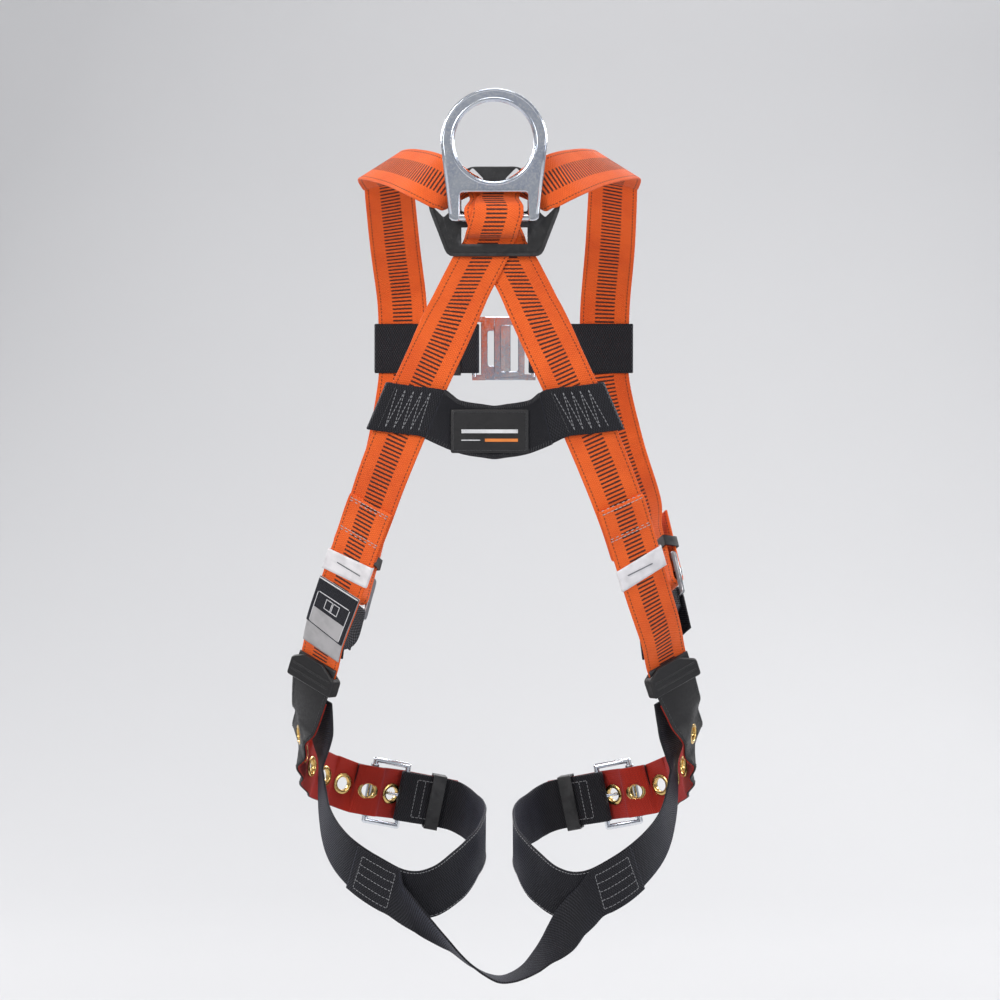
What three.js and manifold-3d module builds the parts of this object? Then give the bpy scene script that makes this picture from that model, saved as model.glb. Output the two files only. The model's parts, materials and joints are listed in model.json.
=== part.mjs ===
// Full-body fall-arrest harness, laid out as it hangs on a standing wearer.
// Millimetres, +Z up. The wearer faces +Y: the dorsal side looks towards -Y and +X is the wearer's right.
// The origin is inside the wearer, on the centre line, at the height where the straps cross the shoulders.
import * as THREE from "three";
import { mergeVertices } from "three/addons/utils/BufferGeometryUtils.js";
import Module from "manifold-3d";

const wasm = await Module();
wasm.setup();

// Webbing
const WEB = { width: 45, thick: 1.8, lining: 1.2 };
const GAP = 0.3;
const LAYER = WEB.thick + GAP;
const STEP = 11;

// Dorsal plate and ring
const PLATE = { back: -114.3, thick: 3.3, rim: 1.2, rimWide: 2.6 };
const RING = { y: -124.2, thick: 6.5, outer: 45, hole: 33.5, eyeZ: 22.5, barZ: -41.5, barR: 3.2 };
const WEAVE = { behind: -110.6, front: -128.9 };

// Torso adjusters, chest buckle and leg buckles
const ADJUSTER = { wide: 58, up: 20, down: 24, thick: 3, windowUp: 13, windowDown: 17, barWide: 52 };
const CHEST = { z: -150, y: 120, barX: 27, barR: 2.2, wide: 58 };
const BUCKLE = { wire: 2.5, rear: 14, front: 16, halfWide: 28, roller: 4 };
const GROMMET = { outer: 9.5, barrel: 6.4, hole: 5.8, pitch: 25, count: 7, lip: 0.4 };
const SLEEVE = { wide: 54, thick: 11, long: 24, slotWide: 47, slotThick: 5 };

// The two sides differ a little, as a worn harness does: where each hip joint sits and how far a front
// strap stands off.
const RIGHT = { name: "right", sign: 1, hip: 150, flare: 10, over: true };
const LEFT = { name: "left", sign: -1, hip: 158, flare: 0, over: false };
const SIDES = [RIGHT, LEFT];
const other = (side) => (side === RIGHT ? LEFT : RIGHT);

const harness = new THREE.Group();
const vec = (x, y, z) => new THREE.Vector3(x, y, z);

// ---- materials ----
const finish = (color, roughness, metalness) =>
  new THREE.MeshStandardMaterial({ color, roughness, metalness });
const orangeWeb = () => finish(0xf4661f, 0.8, 0);
const blackWeb = () => finish(0x1c1c20, 0.75, 0);
const vinyl = () => finish(0x111113, 0.55, 0);
const redWeb = () => finish(0xc4200f, 0.8, 0);
const zincSteel = () => finish(0xaab2bd, 0.32, 1);
const darkSteel = () => finish(0x6d7177, 0.4, 1);
const brass = () => finish(0xc8a050, 0.3, 1);
const blackPlastic = () => finish(0x141415, 0.45, 0);
const whiteLabel = () => finish(0xe8e4e8, 0.6, 0);

// ---- solids ----
function add(name, geometry, material) {
  const mesh = new THREE.Mesh(geometry, material);
  mesh.name = name;
  harness.add(mesh);
  return mesh;
}

function toSolid(geometry) {
  const bare = geometry.clone();
  bare.deleteAttribute("normal");
  bare.deleteAttribute("uv");
  const merged = mergeVertices(bare, 1e-4);
  return new wasm.Manifold(new wasm.Mesh({
    numProp: 3,
    vertProperties: merged.attributes.position.array,
    triVerts: Uint32Array.from(merged.index.array),
  }));
}

function toGeometry(solid) {
  const mesh = solid.simplify(0.02).getMesh();
  const geometry = new THREE.BufferGeometry();
  geometry.setAttribute("position", new THREE.BufferAttribute(mesh.vertProperties, 3));
  geometry.setIndex(new THREE.BufferAttribute(mesh.triVerts, 1));
  geometry.computeVertexNormals();
  return geometry;
}

const joined = (...parts) => toGeometry(parts.map(toSolid).reduce((sum, part) => sum.add(part)));
const cut = (body, ...tools) =>
  toGeometry(tools.map(toSolid).reduce((rest, tool) => rest.subtract(tool), toSolid(body)));
const box = (x, y, z, cx = 0, cy = 0, cz = 0) => new THREE.BoxGeometry(x, y, z).translate(cx, cy, cz);

// A round bar lying along local X.
const barX = (radius, length, y = 0, z = 0, sides = 16) =>
  new THREE.CylinderGeometry(radius, radius, length, sides).rotateZ(Math.PI / 2).translate(0, y, z);

function extruded(shape, thick, bevel = 0, smooth = 3) {
  const depth = thick - 2 * bevel;
  const options = {
    depth,
    bevelEnabled: bevel > 0,
    bevelThickness: bevel,
    bevelSize: bevel,
    bevelOffset: -bevel,
    bevelSegments: 1,
    curveSegments: smooth,
  };
  return new THREE.ExtrudeGeometry(shape, options).translate(0, 0, -depth / 2);
}

// A polygon with its corners rounded by quadratic curves.
function roundedShape(corners, radius, Kind = THREE.Shape) {
  const shape = new Kind();
  const points = corners.map(([x, y]) => new THREE.Vector2(x, y));
  points.forEach((corner, i) => {
    const before = points.at(i - 1).clone().sub(corner).setLength(radius).add(corner);
    const after = points[(i + 1) % points.length].clone().sub(corner).setLength(radius).add(corner);
    if (i === 0) shape.moveTo(before.x, before.y);
    else shape.lineTo(before.x, before.y);
    shape.quadraticCurveTo(corner.x, corner.y, after.x, after.y);
  });
  shape.closePath();
  return shape;
}

const rectangle = (x0, y0, x1, y1) => [[x0, y0], [x1, y0], [x1, y1], [x0, y1]];

// ---- webbing routes ----
// A row of a route gives its place and either the way its outer face looks, so that the weave lies square to
// the route, or the half-width vector itself, where a slot or a bar holds the webbing at a slant.
const facing = (x, y, z, nx, ny, nz) => ({ place: vec(x, y, z), face: vec(nx, ny, nz) });
const across = (x, y, z, hx, hy, hz) => ({ place: vec(x, y, z), half: vec(hx, hy, hz) });

// Stations along a smooth curve through the rows: place, travel direction, half width and outward normal.
function span(rows, width = WEB.width) {
  const curve = new THREE.CatmullRomCurve3(rows.map((row) => row.place));
  const last = rows.length - 1;
  const halves = rows.map((row, i) =>
    row.half ?? curve.getTangent(i / last).cross(row.face).setLength(width / 2));
  const stations = [];
  for (let i = 0; i < last; i += 1) {
    const steps = Math.max(1, Math.round(rows[i].place.distanceTo(rows[i + 1].place) / STEP));
    for (let k = i === 0 ? 0 : 1; k <= steps; k += 1) {
      const along = k / steps;
      const t = (i + along) / last;
      const length = THREE.MathUtils.lerp(halves[i].length(), halves[i + 1].length(), along);
      const half = halves[i].clone().lerp(halves[i + 1], along).setLength(length);
      stations.push(station(curve.getPoint(t), curve.getTangent(t), half));
    }
  }
  return stations;
}

function station(place, travel, half) {
  return { place, travel, half, normal: half.clone().cross(travel).normalize() };
}

// A half turn of the webbing about a bar or a strap edge, to the outer side (+1) or the inner side (-1).
function turn(from, radius, side, steps = 4) {
  const out = from.normal.clone().multiplyScalar(side);
  return Array.from({ length: steps }, (_, i) => {
    const angle = (Math.PI * (i + 1)) / steps;
    const place = from.place.clone()
      .addScaledVector(out, radius * (1 - Math.cos(angle)))
      .addScaledVector(from.travel, radius * Math.sin(angle));
    const travel = from.travel.clone().multiplyScalar(Math.cos(angle)).addScaledVector(out, Math.sin(angle));
    return station(place, travel, from.half.clone());
  });
}

const ahead = (from, length) =>
  station(from.place.clone().addScaledVector(from.travel, length), from.travel, from.half);
const reversed = (stations) => stations.slice().reverse()
  .map((s) => station(s.place, s.travel.clone().negate(), s.half.clone().negate()));

// The same stretch of webbing shifted along its own normals.
const offset = (stations, by) => stations.map((s) =>
  station(s.place.clone().addScaledVector(s.normal, by), s.travel, s.half));

// A closed solid through the stations, with a rectangular section.
function ribbon(stations, thick = WEB.thick) {
  const positions = [];
  const index = [];
  for (const { place, half, normal } of stations) {
    for (const [h, n] of [[1, 1], [-1, 1], [-1, -1], [1, -1]]) {
      const corner = place.clone().addScaledVector(half, h).addScaledVector(normal, (n * thick) / 2);
      positions.push(corner.x, corner.y, corner.z);
    }
  }
  for (let j = 0; j + 1 < stations.length; j += 1) {
    for (let k = 0; k < 4; k += 1) {
      const a = 4 * j + k;
      const b = 4 * j + ((k + 1) % 4);
      // Both faces are split along the same diagonal, so that a twisted stretch keeps its thickness.
      if (k === 2) index.push(a, a + 4, b + 4, a, b + 4, b);
      else index.push(a, a + 4, b, b, a + 4, b + 4);
    }
  }
  const end = 4 * (stations.length - 1);
  index.push(0, 1, 2, 0, 2, 3, end, end + 2, end + 1, end, end + 3, end + 2);
  const geometry = new THREE.BufferGeometry();
  geometry.setAttribute("position", new THREE.Float32BufferAttribute(positions, 3));
  geometry.setIndex(index);
  geometry.computeVertexNormals();
  return geometry;
}

// The station a given distance along a route, measured from its first station.
function stationAt(stations, distance) {
  let left = distance;
  for (let i = 0; i + 1 < stations.length; i += 1) {
    const length = stations[i].place.distanceTo(stations[i + 1].place);
    if (left <= length) {
      const t = left / length;
      const mix = (key) => stations[i][key].clone().lerp(stations[i + 1][key], t);
      return station(mix("place"), mix("travel").normalize(), mix("half"));
    }
    left -= length;
  }
  return stations.at(-1);
}

// The station whose height is nearest to z, among the first or last stretch of a route.
const stationNear = (stations, z) => stations.reduce((best, s) =>
  Math.abs(s.place.z - z) < Math.abs(best.place.z - z) ? s : best);

// Sets a mesh on a route: local X across the webbing, local Y along the travel, local Z outward.
function seat(mesh, at, out = 0, along = 0) {
  const x = at.half.clone().normalize();
  const z = x.clone().cross(at.travel).normalize();
  const y = z.clone().cross(x);
  mesh.quaternion.setFromRotationMatrix(new THREE.Matrix4().makeBasis(x, y, z));
  mesh.position.copy(at.place).addScaledVector(z, out).addScaledVector(y, along);
  return mesh;
}

// A flat loop that goes round webbing: inner opening and wall, as long as the loop is broad.
function bandLoop(wide, tall, wall, long) {
  const [x, y] = [wide / 2 + wall, tall / 2 + wall];
  const shape = roundedShape(rectangle(-x, -y, x, y), 1.2);
  shape.holes.push(roundedShape(rectangle(-wide / 2, -tall / 2, wide / 2, tall / 2), 0.5, THREE.Path));
  return extruded(shape, long).rotateX(Math.PI / 2);
}

// ---- dorsal ring ----
function dorsalRing() {
  const foot = 38;
  const outline = new THREE.Shape();
  outline.moveTo(-foot + 5, RING.barZ - 3.2);
  outline.lineTo(foot - 5, RING.barZ - 3.2);
  outline.quadraticCurveTo(foot, RING.barZ - 3.2, foot + 0.4, RING.barZ + 4);
  outline.lineTo(RING.outer, RING.eyeZ - 4);
  outline.absarc(0, RING.eyeZ, RING.outer, -0.05, Math.PI + 0.05, false);
  outline.lineTo(-foot - 0.4, RING.barZ + 4);
  outline.quadraticCurveTo(-foot, RING.barZ - 3.2, -foot + 5, RING.barZ - 3.2);
  const eye = new THREE.Path();
  eye.absarc(0, RING.eyeZ, RING.hole, 0, 2 * Math.PI, true);
  outline.holes.push(eye);
  outline.holes.push(roundedShape(rectangle(-28.5, RING.barZ + 1, 28.5, -20), 1.5, THREE.Path));
  const plate = extruded(outline, RING.thick, 1.2, 20);
  const slot = box(57, 20, 12, 0, RING.barZ - 6, 0);
  const body = cut(plate, slot);
  const ring = joined(body, barX(RING.barR, 2 * foot - 8, RING.barZ, 0));
  add("dorsal_ring", ring.rotateX(Math.PI / 2).translate(0, RING.y, 0), zincSteel());
}

// ---- dorsal plate ----
function plateOutline(inset, Kind = THREE.Shape) {
  const top = 22 - inset / 2;
  const wing = 57 - inset;
  const bottom = 40 - inset / 2;
  return roundedShape([[-bottom, -74 + inset], [bottom, -74 + inset], [wing, -30], [top, 2 - inset],
    [-top, 2 - inset], [-wing, -30]], 6, Kind);
}

function dorsalPlate() {
  const face = extruded(plateOutline(0), PLATE.thick, 0.8);
  const rimShape = plateOutline(0.5);
  rimShape.holes.push(plateOutline(0.5 + PLATE.rimWide, THREE.Path));
  const rim = cut(extruded(rimShape, PLATE.rim + 1), box(130, 60, 12, 0, -4, 0));
  const slots = SIDES.map(({ sign }) => {
    const corners = [[43, -41], [52.5, -31.5], [18.5, 1], [9, -8.5]].map(([x, y]) => [x * sign, y]);
    return extruded(roundedShape(sign > 0 ? corners : corners.reverse(), 1.5), 12);
  });
  const opening = [[-28, -36], [28, -36], [28, -25], [18, -15], [-18, -15], [-28, -25]];
  const window = extruded(roundedShape(opening, 2), 12);
  const lowerSlot = box(56, 14, 12, 0, -56.5, 0);
  const raised = rim.translate(0, 0, PLATE.thick / 2 + (PLATE.rim - 1) / 2);
  const plate = cut(joined(face, raised), ...slots, window, lowerSlot);
  const standing = plate.rotateX(Math.PI / 2).translate(0, PLATE.back - PLATE.thick / 2, 0);
  add("dorsal_plate", standing, blackPlastic());
}

// ---- shoulder straps ----
// From the torso adjuster up the chest, over the shoulder, through the dorsal plate and down to the other
// hip.
function adjusterFrame(side) {
  const s = side.sign;
  const place = vec(s * (134 + side.flare), 60, -362);
  const travel = vec(0.2 * s, -0.5, -0.84).normalize();
  const half = travel.clone().cross(vec(0.83 * s, 0.55, -0.13)).setLength(WEB.width / 2);
  return station(place, travel, half);
}

function frontStretch(side) {
  const s = side.sign;
  const frame = adjusterFrame(side);
  const layer = -ADJUSTER.thick / 2 - 0.35 - WEB.thick / 2;
  const hung = (distance) => {
    const at = ahead(frame, distance);
    return { place: at.place.addScaledVector(frame.normal, layer), half: at.half };
  };
  return reversed(span([
    facing(s * 100, 40, -4, 0.3 * s, 0.62, 0.78),
    facing(s * 97, 84, -60, 0.1 * s, 1, 0.35),
    facing(s * 93, 110, -104, 0, 1, 0.1),
    facing(s * 92, 113, -124, 0, 1, 0),
    facing(s * 92, 113, -150, 0, 1, 0),
    facing(s * 92, 113, -178, 0, 1, 0),
    facing(s * (103 + side.flare * 0.4), 110, -240, 0.35 * s, 1, -0.1),
    facing(s * (120 + side.flare * 0.8), 90, -298, 0.7 * s, 0.75, -0.1),
    hung(-50),
    hung(-24),
    hung(4.4),
  ]));
}

function backStretch(side) {
  const s = side.sign;
  const { behind, front } = WEAVE;
  const end = other(side);
  const e = end.sign;
  const stations = span([
    facing(s * 100, 40, -4, 0.3 * s, 0.62, 0.78),
    facing(s * 105, -2, 8, 0.5 * s, 0, 0.85),
    facing(s * 97, -42, 8, 0.42 * s, -0.5, 0.75),
    facing(s * 78, -80, 3, 0.2 * s, -0.85, 0.5),
    facing(s * 57, -111.4, -6, 0.1 * s, -1, 0.25),
    across(s * 41, -119.4, -14.5, -13, 0, 18 * s),
    across(s * 34, -118.4, -18.5, -15, 0, 15 * s),
    across(s * 29.5, -114, -20.5, -15.5, 0, 14.5 * s),
    across(s * 25, behind, -21, -15, 0, 12 * s),
    across(s * 18, behind + 0.2, -21, -14, 0, 7 * s),
    across(s * 9, behind - 0.2, -19.5, -15, 0, 1 * s),
    across(s * 3, behind - 5, -26, -18, 0, 0),
    across(s * 4, front + 1.8, -33.5, -21, 0, 0),
    across(s * 3, front, -40, -22, 0, 0),
    across(s * 0.5, front + 0.4, -47, -22, 0, 0),
    across(-s * 2, front + 4.5, -52.5, -22, 0, 0),
    across(-s * 3.5, behind - 2.5, -56.3, -22, 0, 0),
    across(-s * 5, behind, -61, -22, 0, 0),
    across(-s * 12.5, behind, -76, -24, 0, 0),
    across(e * 29, behind + 0.4, -108, -24, 0, 0),
    facing(e * 52, -109.8, -158, 0.08 * e, -1, 0.02),
    facing(e * 73, -107, -204, 0.15 * e, -1, 0),
    facing(e * 97, -98, -262, 0.28 * e, -0.96, 0),
    facing(e * 110, -90, -298, 0.38 * e, -0.92, 0),
    facing(e * (118 + (end.hip - 150) * 0.3), -83.5, -324, 0.42 * e, -0.9, 0),
  ]);
  return side.over ? stations.map(liftOver) : stations;
}

// Where the two shoulder straps cross at the dorsal plate, one lies a layer above the other.
function liftOver(s) {
  const { x, z } = s.place;
  const past = z > -30 ? THREE.MathUtils.smoothstep(36 - Math.abs(x), 0, 10) : 1;
  const before = THREE.MathUtils.smoothstep(z, -150, -108);
  const lifted = s.place.clone().addScaledVector(s.normal, past * before * (LAYER + 0.4));
  return station(lifted, s.travel, s.half);
}

// The load indicator: the webbing folded into three layers and tacked with tear stitches.
function loadFold(stations) {
  const radius = LAYER / 2;
  const tuck = 42;
  const first = stations.at(-1);
  const up = turn(first, radius, 1);
  const top = ahead(up.at(-1), tuck);
  const down = turn(top, radius, -1);
  return [...stations, ...up, top, ...down];
}

function hipStation(side) {
  const s = side.sign;
  const travel = vec(0.3 * s, 0.22, -0.93).normalize();
  const half = travel.clone().cross(vec(0.6 * s, -0.8, 0)).setLength(WEB.width / 2);
  return station(vec(s * side.hip, -43, -432), travel, half);
}

function shoulderStrap(side) {
  const end = other(side);
  const e = end.sign;
  const front = frontStretch(side);
  const loop = turn(reversed(front).at(-1), 4.9, 1, 6);
  const tail = [ahead(loop.at(-1), 22), ahead(loop.at(-1), 70)];
  const folded = loadFold(backStretch(side));
  const last = folded.at(-1);
  const hip = hipStation(end);
  const lower = span([
    { place: ahead(last, 12).place, half: last.half },
    facing(e * (131 + (end.hip - 150) * 0.5), -78, -362, 0.5 * e, -0.86, 0),
    facing(e * (142 + (end.hip - 150) * 0.8), -62, -398, 0.56 * e, -0.82, 0),
    { place: ahead(hip, -11).place, half: hip.half },
    { place: hip.place, half: hip.half },
    { place: ahead(hip, 9).place, half: hip.half },
  ]);
  const stations = [...reversed([...loop, ...tail]), ...front, ...folded.slice(1), ...lower];
  add(`shoulder_strap_${side.name}`, ribbon(stations), orangeWeb());
  return lower;
}

// ---- torso adjusters ----
function torsoAdjuster(side) {
  const at = adjusterFrame(side);
  const half = ADJUSTER.wide / 2;
  const outline = roundedShape(rectangle(-half, -ADJUSTER.up, half, ADJUSTER.down), 5);
  const opening = rectangle(-half + 5.5, -ADJUSTER.windowUp, half - 5.5, ADJUSTER.windowDown);
  outline.holes.push(roundedShape(opening, 2, THREE.Path));
  seat(add(`adjuster_frame_${side.name}`, extruded(outline, ADJUSTER.thick, 0.6), darkSteel()), at);
  const bar = joined(box(ADJUSTER.barWide, 8, 3.4, 0, 0, 3.7), box(ADJUSTER.barWide + 5, 3, 2, 0, 0, 2.9));
  seat(add(`adjuster_bar_${side.name}`, bar, darkSteel()), at);
  seat(add(`torso_keeper_${side.name}`, bandLoop(46.6, 13, 1.4, 10), blackPlastic()), at, 2.1, -32);
}

// The black strap from the torso adjuster to the hip joint.
function lowerStrap(side) {
  const s = side.sign;
  const at = adjusterFrame(side);
  const outer = ADJUSTER.thick / 2 + 0.35 + WEB.thick / 2;
  const top = (distance, by) => {
    const here = ahead(at, distance);
    here.place.addScaledVector(at.normal, by);
    return here;
  };
  const loopStart = top(18, outer);
  const back = station(loopStart.place, at.travel.clone().negate(), at.half.clone().negate());
  const loop = turn(back, outer, -1, 6);
  const hip = hipStation(side);
  const inner = hip.place.clone().addScaledVector(hip.travel, -38).addScaledVector(hip.normal, -LAYER - 1.8);
  const level = vec(-0.8 * s, -0.6, -0.12);
  const run = span([
    { place: loop.at(-1).place, half: loop.at(-1).half },
    { place: ahead(loop.at(-1), 24).place, half: loop.at(-1).half },
    facing(s * (146 + side.flare * 0.7), 24, -398, 1 * s, 0.15, -0.1),
    facing(s * (side.hip + 1), -8, -404, 0.85 * s, -0.45, -0.05),
    { place: inner.clone().addScaledVector(level, -18), face: hip.normal },
    { place: inner.clone().addScaledVector(level, 16), face: hip.normal },
  ]);
  const stations = [ahead(back, -38), back, ...loop, ...run.slice(1)];
  add(`lower_strap_${side.name}`, ribbon(stations), blackWeb());
}

// ---- leg buckles ----
function buckleStation(side) {
  const s = side.sign;
  const travel = vec(-0.96 * s, 0.16, -0.2).normalize();
  const half = travel.clone().cross(vec(0.16 * s, 0.98, 0)).setLength(WEB.width / 2);
  return station(vec(s * 104, 76, -553), travel, half);
}

// A place in the leg buckle's own axes: along the webbing and outward from it.
function atBuckle(side, along, out) {
  const at = buckleStation(side);
  const here = ahead(at, along);
  here.place.addScaledVector(at.normal, out);
  return { place: here.place, half: here.half };
}

function tongueStations(side) {
  const s = side.sign;
  const hip = hipStation(side);
  const start = (distance) => {
    const here = ahead(hip, distance);
    here.place.addScaledVector(hip.normal, LAYER);
    return { place: here.place, half: here.half };
  };
  const x = (value) => s * (value + (side.hip - 150) * 0.6);
  return span([
    start(-10),
    start(12),
    facing(x(165), -29, -470, 0.75 * s, -0.65, 0.05),
    facing(x(171), -14, -493, 0.93 * s, -0.35, 0.1),
    facing(x(169), 6, -512, 1 * s, 0.05, 0.1),
    facing(x(161), 32, -529, 0.9 * s, 0.45, 0.05),
    facing(s * 147, 57, -541, 0.6 * s, 0.8, 0),
    atBuckle(side, -35, -7.8),
    atBuckle(side, -24, -8.3),
    atBuckle(side, -13, -7.2),
    atBuckle(side, 1.4, 2.4),
    atBuckle(side, 14, 8.6),
    atBuckle(side, 30, 8.4),
    atBuckle(side, 62, 8.0),
  ]);
}

// A grommet keeps the webbing flat round it: the route is replaced by a straight stretch at each one.
function flattened(stations, marks) {
  const flat = GROMMET.outer + 1.3;
  const kept = stations.map((s, i) => ({ s, distance: routeLength(stations.slice(0, i + 1)) }))
    .filter(({ distance }) => marks.every((mark) => Math.abs(mark - distance) > flat + 3));
  const flats = marks.flatMap((mark) => {
    const at = stationAt(stations, mark);
    return [{ s: ahead(at, -flat), distance: mark - flat }, { s: ahead(at, flat), distance: mark + flat }];
  });
  return [...kept, ...flats].sort((a, b) => a.distance - b.distance).map(({ s }) => s);
}

function routeLength(stations) {
  return stations.slice(1).reduce((sum, s, i) => sum + s.place.distanceTo(stations[i].place), 0);
}

function distanceTo(stations, place) {
  const gaps = stations.map((s) => s.place.distanceTo(place));
  const best = gaps.indexOf(Math.min(...gaps));
  return routeLength(stations.slice(0, best + 1));
}

function tongueStrap(side) {
  const stations = tongueStations(side);
  const fastened = distanceTo(stations, atBuckle(side, 1.4, 2.4).place) + 0.9;
  const first = fastened + (1 - GROMMET.count) * GROMMET.pitch;
  const marks = Array.from({ length: GROMMET.count }, (_, i) => first + i * GROMMET.pitch);
  const holes = marks.map((mark) => stationAt(stations, mark));
  const liningOut = -(WEB.thick / 2 + GAP + WEB.lining / 2);
  const punch = (at) => {
    const round = new THREE.CylinderGeometry(6.9, 6.9, 14, 12).rotateX(Math.PI / 2);
    const tool = seat(new THREE.Mesh(round), at, liningOut / 2);
    tool.updateMatrix();
    return tool.geometry.applyMatrix4(tool.matrix);
  };
  const flat = flattened(stations, marks);
  add(`tongue_strap_${side.name}`, cut(ribbon(flat), ...holes.map(punch)), vinyl());
  const lined = offset(flat.slice(3), liningOut);
  add(`tongue_lining_${side.name}`, cut(ribbon(lined, WEB.lining), ...holes.map(punch)), redWeb());
  holes.forEach((at, i) => grommet(`grommet_${side.name}_${i + 1}`, at, liningOut / 2 - 0.15));
}

// A rolled eyelet: two flanges on a short barrel.
function grommet(name, at, out) {
  const reach = (WEB.thick + GAP + WEB.lining) / 2 + 0.5;
  const lip = reach + GROMMET.lip;
  const { outer, barrel, hole } = GROMMET;
  const profile = [[hole, -lip], [barrel + 1.4, -lip], [outer, -reach], [barrel, -reach], [barrel, reach],
    [outer, reach], [barrel + 1.4, lip], [hole, lip], [hole, -lip]];
  const points = profile.map(([r, h]) => new THREE.Vector2(r, h));
  const lathe = new THREE.LatheGeometry(points, 16).rotateX(Math.PI / 2);
  seat(add(name, lathe, brass()), at, out);
}

function legBuckle(side) {
  const at = buckleStation(side);
  const { wire, rear, front, halfWide, roller } = BUCKLE;
  const arm = () => new THREE.CylinderGeometry(wire, wire, rear + front, 12);
  const rounded = (x, y) => new THREE.SphereGeometry(wire, 12, 6).translate(x, y, 0);
  const middle = (rear - front) / 2;
  const frame = joined(
    barX(wire, 2 * halfWide, rear, 0, 12),
    barX(wire, 2 * halfWide, -front, 0, 12),
    arm().translate(halfWide, middle, 0),
    arm().translate(-halfWide, middle, 0),
    rounded(halfWide, rear), rounded(-halfWide, rear), rounded(halfWide, -front), rounded(-halfWide, -front),
  );
  seat(add(`buckle_frame_${side.name}`, frame, zincSteel()), at);
  const sleeve = new THREE.LatheGeometry([[2.75, -24], [roller, -24], [roller, 24], [2.75, 24], [2.75, -24]]
    .map(([r, h]) => new THREE.Vector2(r, h)), 16).rotateZ(Math.PI / 2).translate(0, -front, 0);
  seat(add(`buckle_roller_${side.name}`, sleeve, zincSteel()), at);
  // The prong: an eye round the rear bar and a rod that rests on the roller.
  const eye = new THREE.LatheGeometry([[2.8, -2.6], [4.6, -2.6], [4.6, 2.6], [2.8, 2.6], [2.8, -2.6]]
    .map(([r, h]) => new THREE.Vector2(r, h)), 16).rotateZ(Math.PI / 2).translate(0, rear, 0);
  const rise = 6.6;
  const length = Math.hypot(rear + front + 2, rise);
  const rod = new THREE.CylinderGeometry(1.5, 1.3, length - 3.6, 12)
    .translate(0, -3.6 - (length - 3.6) / 2, 0)
    .rotateX(-Math.atan2(rise, rear + front + 2))
    .translate(0, rear, -0.35);
  seat(add(`buckle_prong_${side.name}`, joined(eye, rod), zincSteel()), at);
  seat(add(`leg_keeper_${side.name}`, bandLoop(46.8, 16.5, 1.4, 12), blackPlastic()), at, 2.6, 44);
}

// ---- leg straps ----
// From the hip joint down the outer thigh, under the seat, between the legs and up to the buckle in front.
function legStations(side) {
  const s = side.sign;
  const hip = hipStation(side);
  const under = (distance) => {
    const here = ahead(hip, distance);
    here.place.addScaledVector(hip.normal, -LAYER - 4);
    return { place: here.place, half: here.half };
  };
  const x = (value) => s * (value + (side.hip - 150) * 0.4);
  const run = span([
    under(22),
    facing(x(154), -22, -484, 0.8 * s, -0.6, 0),
    facing(x(154), -10, -518, 0.98 * s, -0.15, -0.05),
    facing(x(152), -18, -548, 0.95 * s, -0.3, -0.1),
    facing(x(144), -46, -573, 0.75 * s, -0.6, -0.25),
    facing(x(127), -72, -592, 0.5 * s, -0.8, -0.3),
    facing(s * 103, -90, -609, 0.25 * s, -0.93, -0.28),
    facing(s * 78, -95, -620, 0, -0.97, -0.25),
    facing(s * 55, -90, -619, -0.3 * s, -0.92, -0.2),
    facing(s * 34, -72, -607, -0.6 * s, -0.78, -0.15),
    facing(s * 18, -42, -591, -0.92 * s, -0.35, -0.1),
    facing(s * 13, -5, -582, -1 * s, 0, 0),
    facing(s * 16, 34, -577, -0.95 * s, 0.3, 0),
    facing(s * 27, 62, -573, -0.6 * s, 0.8, 0),
    { ...atBuckle(side, 62, -3.75), half: atBuckle(side, 62, 0).half.negate() },
    { ...atBuckle(side, BUCKLE.rear, -3.75), half: atBuckle(side, 16, 0).half.negate() },
  ]);
  const loop = turn(run.at(-1), 3.75, 1, 6);
  return [...run, ...loop, ahead(loop.at(-1), 24)];
}

function legStrap(side) {
  const stations = legStations(side);
  const slot = seat(new THREE.Mesh(box(9, 14, 16, 0, BUCKLE.rear - 2, 0)), buckleStation(side));
  slot.updateMatrix();
  const strap = cut(ribbon(stations), slot.geometry.applyMatrix4(slot.matrix));
  add(`leg_strap_${side.name}`, strap, blackWeb());
}

// The strap under the seat, sewn on both leg straps and hanging free between them.
function seatStrap() {
  const [right, left] = SIDES.map((side) => offset(legStations(side).filter(({ place }) =>
    place.y < -60 && side.sign * place.x > 84 && side.sign * place.x < 124), LAYER + 1.1));
  const first = right.at(-1);
  // The strap arrives on the left with its other face outward: it hangs with half a turn in it.
  const turned = reversed(left).map((s) => station(s.place, s.travel, s.half.clone().negate()));
  const last = turned[0];
  const hanging = span([
    { place: first.place, half: first.half },
    across(74, -103, -632, -3, 4, 20.5),
    across(60, -106, -648, -7, 12, 16),
    across(44, -104, -667, -5, 20, 7),
    across(25, -101, -685, -2, 22, 2),
    across(4, -100, -692, 0, 22, -1),
    across(-20, -101, -680, 2, 21, -6),
    across(-42, -104, -659, 4, 18, -12),
    across(-60, -106, -643, 5, 11, -18),
    across(-74, -103, -631, 4, 4, -20.5),
    { place: last.place, half: last.half },
  ]);
  add("seat_strap", ribbon([...right, ...hanging.slice(1, -1), ...turned]), blackWeb());
}

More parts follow.
